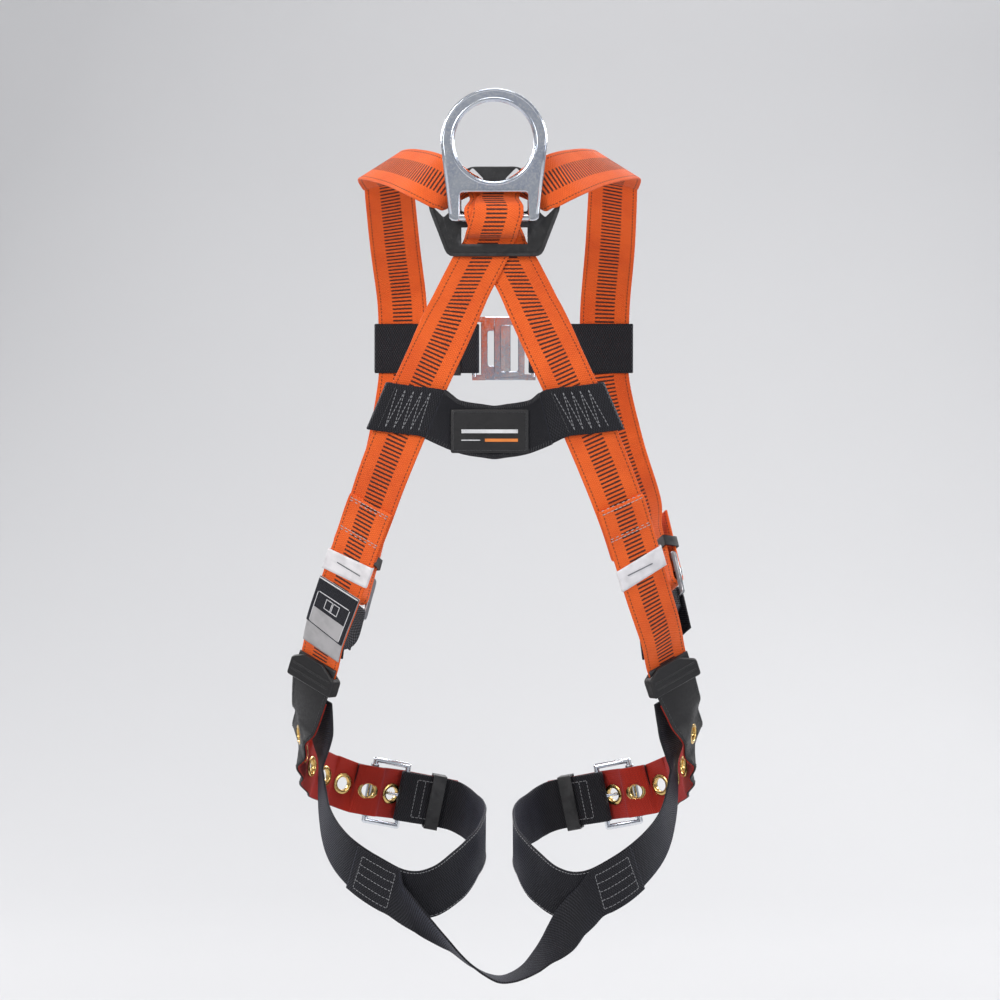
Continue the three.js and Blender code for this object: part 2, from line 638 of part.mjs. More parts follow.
// ---- back band, chest straps ----
function backBand() {
  const off = LAYER + 1.6;
  const halfBand = (side) => {
    const s = side.sign;
    const strap = stationNear(backStretch(other(side)).filter(({ place }) => place.z < -150), -203);
    const outward = strap.half.clone().normalize().multiplyScalar(-s);
    const level = outward.clone().addScaledVector(strap.travel, 0.3).normalize();
    const edge = strap.travel.clone().setLength(22 * s);
    const over = (distance) => ({
      place: strap.place.clone().addScaledVector(strap.normal, off).addScaledVector(level, distance),
      half: edge,
    });
    const front = span([
      across(0, -115, -223, 0, 0, -22.5 * s),
      across(s * 30, -115, -218, 0, 0, -22.5 * s),
      over(-22),
      over(0),
      over(24.5),
    ]);
    const fold = turn(front.at(-1), off, -1);
    return [...front, ...fold, ahead(fold.at(-1), 47)];
  };
  const right = halfBand(RIGHT);
  const left = halfBand(LEFT);
  add("back_band", ribbon([...reversed(left), ...right.slice(1)]), blackWeb());
  const patch = new THREE.BoxGeometry(66, 37, 1.2);
  const at = station(vec(-4, -117.4, -222), vec(1, 0, 0), vec(0, 0, -22.5));
  const mesh = add("back_patch", patch.rotateZ(Math.PI / 2), vinyl());
  seat(mesh, at);
}

function chestStraps() {
  for (const side of SIDES) {
    const s = side.sign;
    const start = station(vec(s * 62, 113 - LAYER - 0.1, CHEST.z), vec(s, 0, 0), vec(0, 0, 22.5 * s));
    const edge = ahead(start, 53);
    const fold = turn(edge, LAYER + 0.1, 1);
    const run = span([
      { place: fold.at(-1).place, half: fold.at(-1).half },
      { place: vec(s * 92, 115.6, CHEST.z), half: fold.at(-1).half },
      { place: vec(s * 68, 115.9, CHEST.z), half: fold.at(-1).half },
      { place: vec(s * 46, CHEST.y + 3.1, CHEST.z), half: fold.at(-1).half },
      { place: vec(s * CHEST.barX, CHEST.y + 3.5, CHEST.z), half: fold.at(-1).half },
    ]);
    const loop = turn(run.at(-1), 3.5, 1, 6);
    const stations = [start, edge, ...fold, ...run.slice(1), ...loop, ahead(loop.at(-1), 26)];
    add(`chest_strap_${side.name}`, ribbon(stations), blackWeb());
  }
}

// The mating buckle: a slotted frame on the right half and a hooked link on the left half.
function chestBuckle() {
  const middle = (out) => station(vec(0, CHEST.y + out, CHEST.z), vec(1, 0, 0), vec(0, 0, 1));
  const half = CHEST.wide / 2;
  const arms = (y0, y1, h0, h1) => [-1, 1].map((side) =>
    box(5, y1 - y0, h1 - h0, side * (half - 2.5), (y0 + y1) / 2, (h0 + h1) / 2));
  const outline = roundedShape(rectangle(-half, -9, half, 24), 4);
  outline.holes.push(roundedShape(rectangle(-21, -3, 21, 13), 2, THREE.Path));
  const flange = cut(extruded(outline, 3, 0.5), box(47, 10, 10, 0, 24, 0));
  const frame = joined(flange, ...arms(20, CHEST.barX + 2, -1.5, 1.5), barX(CHEST.barR, 52, CHEST.barX));
  seat(add("chest_frame", frame, zincSteel()), middle(0));
  const plate = roundedShape(rectangle(-half, -21, half, 6), 4);
  plate.holes.push(roundedShape(rectangle(-16, -15, 16, -7), 2, THREE.Path));
  const lip = box(36, 3.5, 8, 0, 3, -0.5);
  const link = joined(extruded(plate, 2.6, 0.4).translate(0, 0, 3.5), lip,
    ...arms(-CHEST.barX - 2, -17, -1.5, 4.6), barX(CHEST.barR, 52, -CHEST.barX));
  seat(add("chest_link", link, zincSteel()), middle(0));
  seat(add("chest_keeper", bandLoop(46.6, 11, 1.4, 9), blackPlastic()), middle(0), 0.4, -44);
}

// ---- hip sleeves, load indicator labels, document pouch ----
function hipSleeve(side) {
  const { wide, thick, long, slotWide, slotThick } = SLEEVE;
  const w = wide / 2;
  const y = long / 2;
  const outline = roundedShape([[-w, -y + 9], [-9, -y], [15, -y], [w, -y + 7], [w, y], [-w, y]], 2.5);
  const ridges = [-1, 5].map((at) => barX(1.1, wide - 8, at, thick / 2 - 0.5, 10));
  const shell = joined(extruded(outline, thick, 1.2), ...ridges);
  const sleeve = cut(shell, box(slotWide, 3 * long, slotThick));
  seat(add(`hip_sleeve_${side.name}`, sleeve, blackPlastic()), hipStation(side), LAYER / 2, 2);
}

// The stations between two distances along a route.
const stretch = (stations, from, to, steps) => Array.from({ length: steps + 1 }, (_, i) =>
  stationAt(stations, from + ((to - from) * i) / steps));

function loadLabel(side, lower) {
  const label = bandLoop(46.2, 2.8, 0.6, 19);
  seat(add(`load_label_${side.name}`, label, whiteLabel()), stationAt(lower, 47));
}

function documentPouch(lower) {
  const length = routeLength(lower);
  const pagesOut = WEB.thick / 2 + GAP + 0.5;
  const pages = offset(stretch(lower, length - 97, length - 31, 7), pagesOut);
  add("label_pages", ribbon(pages, 1), whiteLabel());
  const cover = offset(stretch(lower, length - 97, length - 52, 5), pagesOut + 0.5 + GAP + 0.6);
  add("label_cover", ribbon(cover, 1.2), vinyl());
}

dorsalRing();
dorsalPlate();
SIDES.forEach((side) => {
  const lower = shoulderStrap(side);
  loadLabel(other(side), lower);
  if (other(side) === LEFT) documentPouch(lower);
  torsoAdjuster(side);
  hipSleeve(side);
  lowerStrap(side);
  tongueStrap(side);
  legBuckle(side);
  legStrap(side);
});
seatStrap();
backBand();
chestStraps();
chestBuckle();

export default harness;
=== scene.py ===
import json
import math

import bmesh
import bpy
import numpy as np
from mathutils import Matrix, Vector


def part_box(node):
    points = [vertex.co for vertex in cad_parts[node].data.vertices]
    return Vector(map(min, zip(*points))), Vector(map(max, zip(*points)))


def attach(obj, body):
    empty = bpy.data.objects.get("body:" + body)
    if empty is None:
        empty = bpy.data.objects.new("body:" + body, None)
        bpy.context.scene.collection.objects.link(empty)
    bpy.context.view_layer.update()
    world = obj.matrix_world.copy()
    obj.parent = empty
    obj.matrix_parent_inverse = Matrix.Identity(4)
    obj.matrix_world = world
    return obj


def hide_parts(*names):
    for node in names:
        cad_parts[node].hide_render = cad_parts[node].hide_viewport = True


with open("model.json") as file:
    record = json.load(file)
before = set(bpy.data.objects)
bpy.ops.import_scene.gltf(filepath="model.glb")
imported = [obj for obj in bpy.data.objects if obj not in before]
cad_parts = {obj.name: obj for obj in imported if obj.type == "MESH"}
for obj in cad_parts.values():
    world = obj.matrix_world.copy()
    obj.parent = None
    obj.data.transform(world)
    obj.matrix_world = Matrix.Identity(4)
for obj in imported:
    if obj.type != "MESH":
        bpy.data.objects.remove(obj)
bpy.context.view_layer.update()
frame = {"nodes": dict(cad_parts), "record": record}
nodes = frame["nodes"]
bodyOf = {node: body for body, members in frame["record"]["behaviour"]["bodies"].items() for node in members}
slotOf = {entry["node"]: entry["material_slot"] for entry in frame["record"]["subparts"]}
sides = {"right": 1, "left": -1}
print("frame loaded:", len(nodes), "nodes")

# ---------- camera, light and floor ----------
cameraSet = {
    "target": (0.0045, -0.11, -0.2805),
    "distance": 3.0,
    "azimuth": 2.0,
    "elevation": 2.0,
    "lens": 127.0,
}
stageSet = {
    "floorZ": -0.86,
    "depth": 2.6,        # how far behind the wearer the floor turns up into the backdrop
    "bend": 1.2,
    "width": 30.0,
    "colour": (0.62, 0.62, 0.63),
    "world": (0.93, 0.95, 1.0),
    "worldStrength": 0.42,
}
# place, aimed at, size, watts, colour
lamps = {
    "keyLeft": ((-1.5, -2.2, 1.0), (0, -0.05, -0.2), 1.2, 40, (1.0, 0.98, 0.95)),
    "fillRight": ((1.9, -2.0, 0.4), (0, -0.05, -0.3), 1.5, 20, (0.95, 0.97, 1.0)),
    "topSoft": ((0.0, -0.3, 1.9), (0, 0, -0.2), 1.4, 20, (1, 1, 1)),
    "rimLeft": ((-1.7, 1.3, 0.5), (0, 0, -0.3), 0.8, 22, (1, 1, 1)),
    "rimRight": ((1.7, 1.3, 0.5), (0, 0, -0.3), 0.8, 22, (1, 1, 1)),
    "frontSoft": ((0.3, 2.6, 0.6), (0, 0, -0.3), 1.6, 30, (1, 1, 1)),
}


def makeCamera():
    turn, rise = math.radians(cameraSet["azimuth"]), math.radians(cameraSet["elevation"])
    back = Vector((math.sin(turn) * math.cos(rise), -math.cos(turn) * math.cos(rise), math.sin(rise)))
    data = bpy.data.cameras.new("camera")
    data.lens = cameraSet["lens"]
    data.sensor_width = 36
    camera = bpy.data.objects.new("camera", data)
    camera.location = Vector(cameraSet["target"]) + back * cameraSet["distance"]
    camera.rotation_euler = (-back).to_track_quat("-Z", "Y").to_euler()
    bpy.context.collection.objects.link(camera)
    bpy.context.scene.camera = camera


def makeLamps():
    for name, (place, aim, size, watts, colour) in lamps.items():
        data = bpy.data.lights.new(name, "AREA")
        data.shape = "DISK"
        data.size = size
        data.energy = watts
        data.color = colour
        lamp = bpy.data.objects.new(name, data)
        lamp.location = place
        lamp.rotation_euler = (Vector(aim) - Vector(place)).to_track_quat("-Z", "Y").to_euler()
        bpy.context.collection.objects.link(lamp)
    world = bpy.data.worlds.new("studio")
    world.use_nodes = True
    ground = world.node_tree.nodes["Background"]
    ground.inputs["Color"].default_value = (*stageSet["world"], 1)
    ground.inputs["Strength"].default_value = stageSet["worldStrength"]
    bpy.context.scene.world = world
    bpy.context.scene.view_settings.view_transform = "Standard"


makeCamera()
makeLamps()
print("camera and lamps made")


# ---------- node helpers ----------
def feed(tree, socket, value):
    if isinstance(value, bpy.types.NodeSocket):
        tree.links.new(value, socket)
    else:
        socket.default_value = value


def put(tree, kind, settings=None, inputs=None):
    made = tree.nodes.new(kind)
    for key, value in (settings or {}).items():
        setattr(made, key, value)
    for key, value in (inputs or {}).items():
        feed(tree, made.inputs[key], value)
    return made


def calc(tree, operation, *values, clamp=False):
    made = put(tree, "ShaderNodeMath", {"operation": operation, "use_clamp": clamp}, dict(enumerate(values)))
    return made.outputs[0]


def mixed(tree, factor, first, second, way="MIX"):
    made = put(tree, "ShaderNodeMix", {"data_type": "RGBA", "blend_type": way, "clamp_factor": True},
               {0: factor, 6: first, 7: second})
    return made.outputs[2]


def ramped(tree, value, low, high, toLow=0.0, toHigh=1.0):
    made = put(tree, "ShaderNodeMapRange", {"interpolation_type": "SMOOTHSTEP"},
               {"Value": value, "From Min": low, "From Max": high, "To Min": toLow, "To Max": toHigh})
    return made.outputs["Result"]


def noise(tree, scale, detail=2.0, rough=0.5, vector=None):
    if vector is None:
        vector = put(tree, "ShaderNodeTexCoord").outputs["Object"]
    made = put(tree, "ShaderNodeTexNoise", None,
               {"Vector": vector, "Scale": scale, "Detail": detail, "Roughness": rough})
    return made.outputs[0]


def stretchedSpace(tree, x, y, z):
    place = put(tree, "ShaderNodeTexCoord").outputs["Object"]
    return put(tree, "ShaderNodeVectorMath", {"operation": "MULTIPLY"}, {0: place, 1: (x, y, z)}).outputs[0]


def webSpace(tree):
    uv = put(tree, "ShaderNodeUVMap", {"uv_map": "web"})
    parts = put(tree, "ShaderNodeSeparateXYZ", None, {0: uv.outputs[0]})
    return uv.outputs[0], parts.outputs[0], parts.outputs[1]


def nodeGroup(name, ins, outs):
    tree = bpy.data.node_groups.new(name, "ShaderNodeTree")
    for label, value in ins.items():
        socket = tree.interface.new_socket(label, in_out="INPUT", socket_type="NodeSocketFloat")
        socket.default_value = value
    for label in outs:
        tree.interface.new_socket(label, in_out="OUTPUT", socket_type="NodeSocketFloat")
    return tree, tree.nodes.new("NodeGroupInput").outputs, tree.nodes.new("NodeGroupOutput").inputs


# Woven webbing: ribs across the strap, set off by half a rib from one column of yarns to the next.
def weaveGroup():
    tree, ins, outs = nodeGroup("weave", {"Rib": 0.0021, "Column": 0.0016, "Softness": 0.5}, ["Height", "Yarn"])
    uv, across, along = webSpace(tree)
    wander = noise(tree, 260, 1, 0.5, uv)
    drift = calc(tree, "MULTIPLY", calc(tree, "SUBTRACT", wander, 0.5), 0.0009)
    column = calc(tree, "DIVIDE", across, ins["Column"])
    shift = calc(tree, "MULTIPLY", calc(tree, "MODULO", calc(tree, "FLOOR", column), 2.0), 0.5)
    rib = calc(tree, "ADD", calc(tree, "DIVIDE", calc(tree, "ADD", along, drift), ins["Rib"]), shift)
    wave = calc(tree, "SINE", calc(tree, "MULTIPLY", rib, 2 * math.pi))
    crest = calc(tree, "ADD", calc(tree, "MULTIPLY", wave, 0.5), 0.5)
    trough = calc(tree, "ABSOLUTE", calc(tree, "SINE", calc(tree, "MULTIPLY", column, math.pi)))
    yarn = calc(tree, "MULTIPLY", crest, calc(tree, "ADD", calc(tree, "MULTIPLY", trough, ins["Softness"]),
                                              calc(tree, "SUBTRACT", 1.0, ins["Softness"])))
    fuzz = noise(tree, 9000, 2, 0.6, uv)
    tree.links.new(calc(tree, "ADD", yarn, calc(tree, "MULTIPLY", fuzz, 0.25)), outs["Height"])
    # The Yarn mask marks the crest of each yarn; the webbing materials paint the crests lighter as a highlight and the
    # troughs darker as shade.
    tree.links.new(yarn, outs["Yarn"])
    return tree


# The woven pattern of the shoulder webbing: a ladder of short bars in the middle, a dashed line near each edge.
ladderSet = {"width": 0.045, "barHalf": 0.0088, "barPitch": 0.0036, "barShare": 0.45, "dashIn": 0.0033,
             "dashPitch": 0.0034, "dashShare": 0.6, "dashHalf": 0.00042}


def ladderGroup():
    tree, ins, outs = nodeGroup("ladder", {"Blur": 0.0002}, ["Bars", "Dashes"])
    uv, across, along = webSpace(tree)
    wander = calc(tree, "MULTIPLY", calc(tree, "SUBTRACT", noise(tree, 700, 2, 0.5, uv), 0.5), 0.0009)
    middle = calc(tree, "ABSOLUTE", calc(tree, "SUBTRACT", across, ladderSet["width"] / 2))
    ragged = calc(tree, "ADD", middle, wander)
    inside = ramped(tree, ragged, ladderSet["barHalf"] + 0.0003, ladderSet["barHalf"] - 0.0003)

    # distance from the middle of each bar or dash, in metres
    def offBeat(pitch):
        beat = calc(tree, "FRACT", calc(tree, "DIVIDE", calc(tree, "ADD", along, wander), pitch))
        return calc(tree, "MULTIPLY", calc(tree, "ABSOLUTE", calc(tree, "SUBTRACT", beat, 0.5)), pitch)

    def within(distance, half):
        outside, inside = calc(tree, "ADD", ins["Blur"], half), calc(tree, "SUBTRACT", half, ins["Blur"])
        return ramped(tree, distance, outside, inside)

    bars = within(offBeat(ladderSet["barPitch"]), ladderSet["barPitch"] * ladderSet["barShare"] / 2)
    tree.links.new(calc(tree, "MULTIPLY", bars, inside), outs["Bars"])
    dashAt = ladderSet["width"] / 2 - ladderSet["dashIn"]
    dashLine = calc(tree, "ABSOLUTE", calc(tree, "SUBTRACT", middle, dashAt))
    dashes = within(offBeat(ladderSet["dashPitch"]), ladderSet["dashPitch"] * ladderSet["dashShare"] / 2)
    line = ramped(tree, dashLine, ladderSet["dashHalf"] + 0.0002, ladderSet["dashHalf"] - 0.0001)
    tree.links.new(calc(tree, "MULTIPLY", dashes, line), outs["Dashes"])
    return tree


# Lighter edges and settled dust for hard parts: rubbed wear on the vinyl and metal, a painted edge highlight on the
# moulded plastic.
def wearAndHighlightGroup():
    tree, ins, outs = nodeGroup("wearAndHighlight", {"Edge": 0.53, "Patch": 60.0}, ["Edges", "Dust", "Cloud"])
    point = put(tree, "ShaderNodeNewGeometry").outputs["Pointiness"]
    patch = noise(tree, ins["Patch"], 4, 0.6)
    edge = ramped(tree, point, ins["Edge"], calc(tree, "ADD", ins["Edge"], 0.06))
    tree.links.new(calc(tree, "MULTIPLY", edge, ramped(tree, patch, 0.35, 0.62)), outs["Edges"])
    tree.links.new(ramped(tree, noise(tree, 420, 3, 0.7), 0.55, 0.75), outs["Dust"])
    tree.links.new(patch, outs["Cloud"])
    return tree


# Fine surface grain, as on plated metal or moulded plastic.
def grainGroup():
    tree, ins, outs = nodeGroup("grain", {"Scale": 2600.0, "Coarse": 700.0}, ["Fine", "Broad"])
    tree.links.new(noise(tree, ins["Scale"], 3, 0.6), outs["Fine"])
    tree.links.new(noise(tree, ins["Coarse"], 2, 0.5), outs["Broad"])
    return tree


groups = {"weave": weaveGroup(), "ladder": ladderGroup(), "wearAndHighlight": wearAndHighlightGroup(), "grain": grainGroup()}


def useGroup(tree, name, **values):
    made = put(tree, "ShaderNodeGroup", {"node_tree": groups[name]})
    for key, value in values.items():
        made.inputs[key].default_value = value
    return made.outputs


def newMaterial(name):
    material = bpy.data.materials.new(name)
    material.use_nodes = True
    tree = material.node_tree
    return material, tree, tree.nodes["Principled BSDF"].inputs


def bump(tree, height, distance, strength=1.0):
    made = put(tree, "ShaderNodeBump", None, {"Height": height, "Distance": distance, "Strength": strength})
    return made.outputs[0]


# ---------- materials ----------
def shoulderWeb():
    material, tree, skin = newMaterial("shoulderWeb")
    weave = useGroup(tree, "weave", Rib=0.0019, Column=0.0015, Softness=0.45)
    ladder = useGroup(tree, "ladder")
    soil = noise(tree, 24, 4, 0.6)
    fresh = mixed(tree, ramped(tree, soil, 0.35, 0.75), (1.0, 0.158, 0.018, 1), (0.83, 0.11, 0.012, 1))
    # Painted shade: the yarn troughs are mixed towards dark brown, as if shaded in the crevices between the ribs.
    wovenWithPaintedShade = mixed(tree, weave["Yarn"], mixed(tree, 0.42, fresh, (0.42, 0.045, 0.006, 1)), fresh)
    barred = mixed(tree, calc(tree, "MULTIPLY", ladder["Bars"], 0.95), wovenWithPaintedShade, (0.018, 0.012, 0.011, 1))
    dashed = mixed(tree, calc(tree, "MULTIPLY", ladder["Dashes"], 0.85), barred, (0.085, 0.02, 0.012, 1))
    feed(tree, skin["Base Color"], dashed)
    feed(tree, skin["Roughness"], ramped(tree, weave["Height"], 0.1, 1.0, 0.85, 0.62))
    skin["Sheen Weight"].default_value = 0.12
    skin["Sheen Roughness"].default_value = 0.4
    skin["Specular IOR Level"].default_value = 0.35
    raised = calc(tree, "ADD", weave["Height"], calc(tree, "MULTIPLY", ladder["Bars"], 0.35))
    feed(tree, skin["Normal"], bump(tree, raised, 0.00035, 0.9))
    return material


def darkWeb(name, low, high, ribPitch=0.0021):
    material, tree, skin = newMaterial(name)
    weave = useGroup(tree, "weave", Rib=ribPitch, Column=0.0019, Softness=0.35)
    soil = noise(tree, 30, 3, 0.6)
    lit = mixed(tree, ramped(tree, soil, 0.3, 0.7), high, tuple(0.7 * value for value in high[:3]) + (1,))
    # Painted rib highlight and shade: the yarn crests take the lighter colour (high, varied by soil) and the troughs
    # the darker one (low).
    feed(tree, skin["Base Color"], mixed(tree, weave["Yarn"], low, lit))
    feed(tree, skin["Roughness"], ramped(tree, weave["Height"], 0.1, 1.0, 0.8, 0.5))
    skin["Sheen Weight"].default_value = 0.1
    skin["Sheen Roughness"].default_value = 0.35
    skin["Specular IOR Level"].default_value = 0.35
    skin["Sheen Tint"].default_value = (0.55, 0.6, 0.95, 1)
    feed(tree, skin["Normal"], bump(tree, weave["Height"], 0.0005, 1.0))
    return material


def vinylSkin():
    material, tree, skin = newMaterial("vinylSkin")
    grain = useGroup(tree, "grain", Scale=1900.0, Coarse=420.0)
    wearAndHighlight = useGroup(tree, "wearAndHighlight", Edge=0.54)
    cells = put(tree, "ShaderNodeTexVoronoi", {"feature": "SMOOTH_F1"},
                {"Vector": put(tree, "ShaderNodeTexCoord").outputs["Object"], "Scale": 900.0})
    body = mixed(tree, wearAndHighlight["Cloud"], (0.006, 0.006, 0.007, 1), (0.014, 0.013, 0.014, 1))
    lighterEdges = calc(tree, "MULTIPLY", wearAndHighlight["Edges"], 0.5)
    feed(tree, skin["Base Color"], mixed(tree, lighterEdges, body, (0.06, 0.06, 0.065, 1)))
    feed(tree, skin["Roughness"], ramped(tree, grain["Broad"], 0.3, 0.7, 0.36, 0.52))
    height = calc(tree, "ADD", calc(tree, "MULTIPLY", cells.outputs["Distance"], 0.6), grain["Fine"])
    feed(tree, skin["Normal"], bump(tree, height, 0.00012, 0.8))
    return material


def zincPlate():
    material, tree, skin = newMaterial("zincPlate")
    grain = useGroup(tree, "grain", Scale=1500.0, Coarse=520.0)
    wearAndHighlight = useGroup(tree, "wearAndHighlight", Edge=0.52, Patch=38.0)
    tone = mixed(tree, ramped(tree, wearAndHighlight["Cloud"], 0.35, 0.65), (0.72, 0.76, 0.82, 1), (0.60, 0.65, 0.76, 1))
    speckled = mixed(tree, ramped(tree, grain["Broad"], 0.45, 0.8), tone, (0.78, 0.79, 0.81, 1))
    feed(tree, skin["Base Color"], mixed(tree, wearAndHighlight["Edges"], speckled, (0.9, 0.91, 0.92, 1)))
    skin["Metallic"].default_value = 1.0
    feed(tree, skin["Roughness"], ramped(tree, grain["Broad"], 0.3, 0.7, 0.12, 0.24))
    coarse, fine = calc(tree, "MULTIPLY", grain["Broad"], 1.4), calc(tree, "MULTIPLY", grain["Fine"], 0.5)
    height = calc(tree, "ADD", coarse, fine)
    feed(tree, skin["Normal"], bump(tree, height, 0.00004, 0.5))
    return material


def pressedSteel():
    material, tree, skin = newMaterial("pressedSteel")
    brushed = noise(tree, 900, 3, 0.6, stretchedSpace(tree, 1.0, 1.0, 0.12))
    wearAndHighlight = useGroup(tree, "wearAndHighlight", Edge=0.52, Patch=50.0)
    tone = mixed(tree, brushed, (0.16, 0.165, 0.18, 1), (0.3, 0.31, 0.33, 1))
    feed(tree, skin["Base Color"], mixed(tree, wearAndHighlight["Edges"], tone, (0.75, 0.76, 0.78, 1)))
    skin["Metallic"].default_value = 1.0
    feed(tree, skin["Roughness"], ramped(tree, brushed, 0.3, 0.7, 0.28, 0.46))
    feed(tree, skin["Normal"], bump(tree, brushed, 0.00008, 0.7))
    return material


def eyeletBrass():
    material, tree, skin = newMaterial("eyeletBrass")
    grain = useGroup(tree, "grain", Scale=2200.0, Coarse=300.0)
    wearAndHighlight = useGroup(tree, "wearAndHighlight", Edge=0.52, Patch=160.0)
    tone = mixed(tree, wearAndHighlight["Cloud"], (0.86, 0.62, 0.24, 1), (0.70, 0.46, 0.17, 1))
    dusty = calc(tree, "MULTIPLY", wearAndHighlight["Dust"], 0.35)
    feed(tree, skin["Base Color"], mixed(tree, dusty, tone, (0.28, 0.17, 0.07, 1)))
    skin["Metallic"].default_value = 1.0
    feed(tree, skin["Roughness"], ramped(tree, grain["Broad"], 0.3, 0.7, 0.14, 0.32))
    feed(tree, skin["Normal"], bump(tree, grain["Fine"], 0.00006, 0.6))
    return material


def mouldedPlastic():
    material, tree, skin = newMaterial("mouldedPlastic")
    grain = useGroup(tree, "grain", Scale=3200.0, Coarse=240.0)
    wearAndHighlight = useGroup(tree, "wearAndHighlight", Edge=0.53, Patch=70.0)
    body = mixed(tree, wearAndHighlight["Cloud"], (0.007, 0.007, 0.008, 1), (0.016, 0.016, 0.017, 1))
    # Painted edge highlight: the edges are mixed towards light grey in patches.
    lighterEdges = mixed(tree, calc(tree, "MULTIPLY", wearAndHighlight["Edges"], 0.7), body, (0.10, 0.10, 0.105, 1))
    dusty = calc(tree, "MULTIPLY", wearAndHighlight["Dust"], 0.06)
    feed(tree, skin["Base Color"], mixed(tree, dusty, lighterEdges, (0.3, 0.29, 0.27, 1)))
    feed(tree, skin["Roughness"], ramped(tree, grain["Broad"], 0.3, 0.7, 0.32, 0.5))
    feed(tree, skin["Normal"], bump(tree, grain["Fine"], 0.0001, 0.7))
    return material


def labelStock(name, colour, creaseDepth=0.0002):
    material, tree, skin = newMaterial(name)
    grain = useGroup(tree, "grain", Scale=2400.0, Coarse=90.0)
    shade = tuple(0.82 * value for value in colour[:3]) + (1,)
    # Painted fold shade: the broad grain darkens the stock in soft patches towards the shade colour.
    soft = mixed(tree, ramped(tree, grain["Broad"], 0.35, 0.75), colour, shade)
    feed(tree, skin["Base Color"], soft)
    feed(tree, skin["Roughness"], ramped(tree, grain["Fine"], 0.3, 0.7, 0.42, 0.6))
    coarse, fine = calc(tree, "MULTIPLY", grain["Broad"], 2.0), calc(tree, "MULTIPLY", grain["Fine"], 0.3)
    height = calc(tree, "ADD", coarse, fine)
    feed(tree, skin["Normal"], bump(tree, height, creaseDepth, 0.7))
    return material


def sewingThread(name, colour):
    material, tree, skin = newMaterial(name)
    strand = noise(tree, 4200, 2, 0.6)
    shade = tuple(0.55 * value for value in colour[:3]) + (1,)
    feed(tree, skin["Base Color"], mixed(tree, ramped(tree, strand, 0.35, 0.7), shade, colour))
    skin["Roughness"].default_value = 0.6
    skin["Sheen Weight"].default_value = 0.3
    feed(tree, skin["Normal"], bump(tree, strand, 0.00015, 0.9))
    return material


def paleFloor():
    material, tree, skin = newMaterial("paleFloor")
    cloud = noise(tree, 1.4, 3, 0.5)
    tone = stageSet["colour"]
    feed(tree, skin["Base Color"], mixed(tree, cloud, (*tone, 1), tuple(0.97 * value for value in tone) + (1,)))
    feed(tree, skin["Roughness"], ramped(tree, cloud, 0.3, 0.7, 0.55, 0.68))
    return material


mats = {
    "shoulder": shoulderWeb(),
    # For each dark webbing the first colour is the painted shade between the ribs and the second the painted rib
    # highlight.
    "black": darkWeb("blackWeb", (0.003, 0.003, 0.004, 1), (0.020, 0.020, 0.028, 1)),
    "sleeve": darkWeb("sleeveWeb", (0.006, 0.006, 0.008, 1), (0.018, 0.018, 0.024, 1), 0.0011),
    # The red webbing is the orange webbing painted in shade: a darker, redder copy of the orange colour.
    "shadedOrange": darkWeb("orangeWebPaintedShade", (0.30, 0.012, 0.004, 1), (0.72, 0.035, 0.010, 1), 0.0013),
    "vinyl": vinylSkin(),
    "zinc": zincPlate(),
    "steel": pressedSteel(),
    "brass": eyeletBrass(),
    "plastic": mouldedPlastic(),
    "label": labelStock("labelWhite", (0.80, 0.78, 0.80, 1)),
    "panel": labelStock("labelGrey", (0.44, 0.43, 0.44, 1), 0.0003),
    "print": labelStock("printWhite", (0.72, 0.72, 0.74, 1), 0.00005),
    "printOrange": labelStock("printOrange", (0.75, 0.22, 0.04, 1), 0.00005),
    "greyThread": sewingThread("greyThread", (0.34, 0.34, 0.36, 1)),
    "whiteThread": sewingThread("whiteThread", (0.62, 0.58, 0.58, 1)),
    "blackThread": sewingThread("blackThread", (0.035, 0.035, 0.042, 1)),
    "orangeThread": sewingThread("orangeThread", (0.75, 0.13, 0.03, 1)),
    "redThread": sewingThread("redThread", (0.62, 0.03, 0.01, 1)),
    "floor": paleFloor(),
}
slotNames = {
    "orange_webbing": "shoulder", "black_webbing": "black", "red_webbing": "shadedOrange", "vinyl": "vinyl",
    "zinc_steel": "zinc", "dark_steel": "steel", "brass": "brass", "black_plastic": "plastic",
    "white_label": "label",
}
print("materials made:", len(mats))


# ---------- pieces ----------
def addPiece(name, verts, faces, material, body, slot, smooth=True, uv=None):
    mesh = bpy.data.meshes.new(name)
    mesh.from_pydata([tuple(v) for v in verts], [], [tuple(int(i) for i in f) for f in faces])
    mesh.validate()
    if uv is not None:
        layer = mesh.uv_layers.new(name="web")
        corner = np.empty(len(mesh.loops), dtype=np.int64)
        mesh.loops.foreach_get("vertex_index", corner)
        layer.data.foreach_set("uv", np.asarray(uv, dtype=np.float32)[corner].ravel())
    mesh.polygons.foreach_set("use_smooth", [smooth] * len(mesh.polygons))
    return placePiece(name, mesh, material, body, slot)


def placePiece(name, mesh, material, body, slot):
    mesh.materials.clear()
    mesh.materials.append(mats[material])
    piece = bpy.data.objects.new(name, mesh)
    bpy.context.collection.objects.link(piece)
    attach(piece, body)
    return piece


# Four-sided faces between rings of corners that follow one another.
def bandFaces(rows, ring, closed=False):
    return [(r * ring + k, r * ring + (k + 1) % ring, (r + 1) % rows * ring + (k + 1) % ring, (r + 1) % rows * ring + k)
            for r in range(rows if closed else rows - 1) for k in range(ring)]


# A node's corners with the doubled ones welded, and its triangles.
def welded(node):
    mesh = nodes[node].data
    co = np.empty(len(mesh.vertices) * 3)
    mesh.vertices.foreach_get("co", co)
    co = co.reshape(-1, 3)
    cells = np.round(co / 2e-6).astype(np.int64)
    _, first, back = np.unique(cells, axis=0, return_index=True, return_inverse=True)
    back = back.ravel()
    faces = [[int(back[i]) for i in polygon.vertices] for polygon in mesh.polygons]
    return co[first], [face for face in faces if len(set(face)) == len(face)]


endSet = {"thickest": 0.0025, "narrowest": 0.02, "sharp": 0.4, "level": 0.9999}


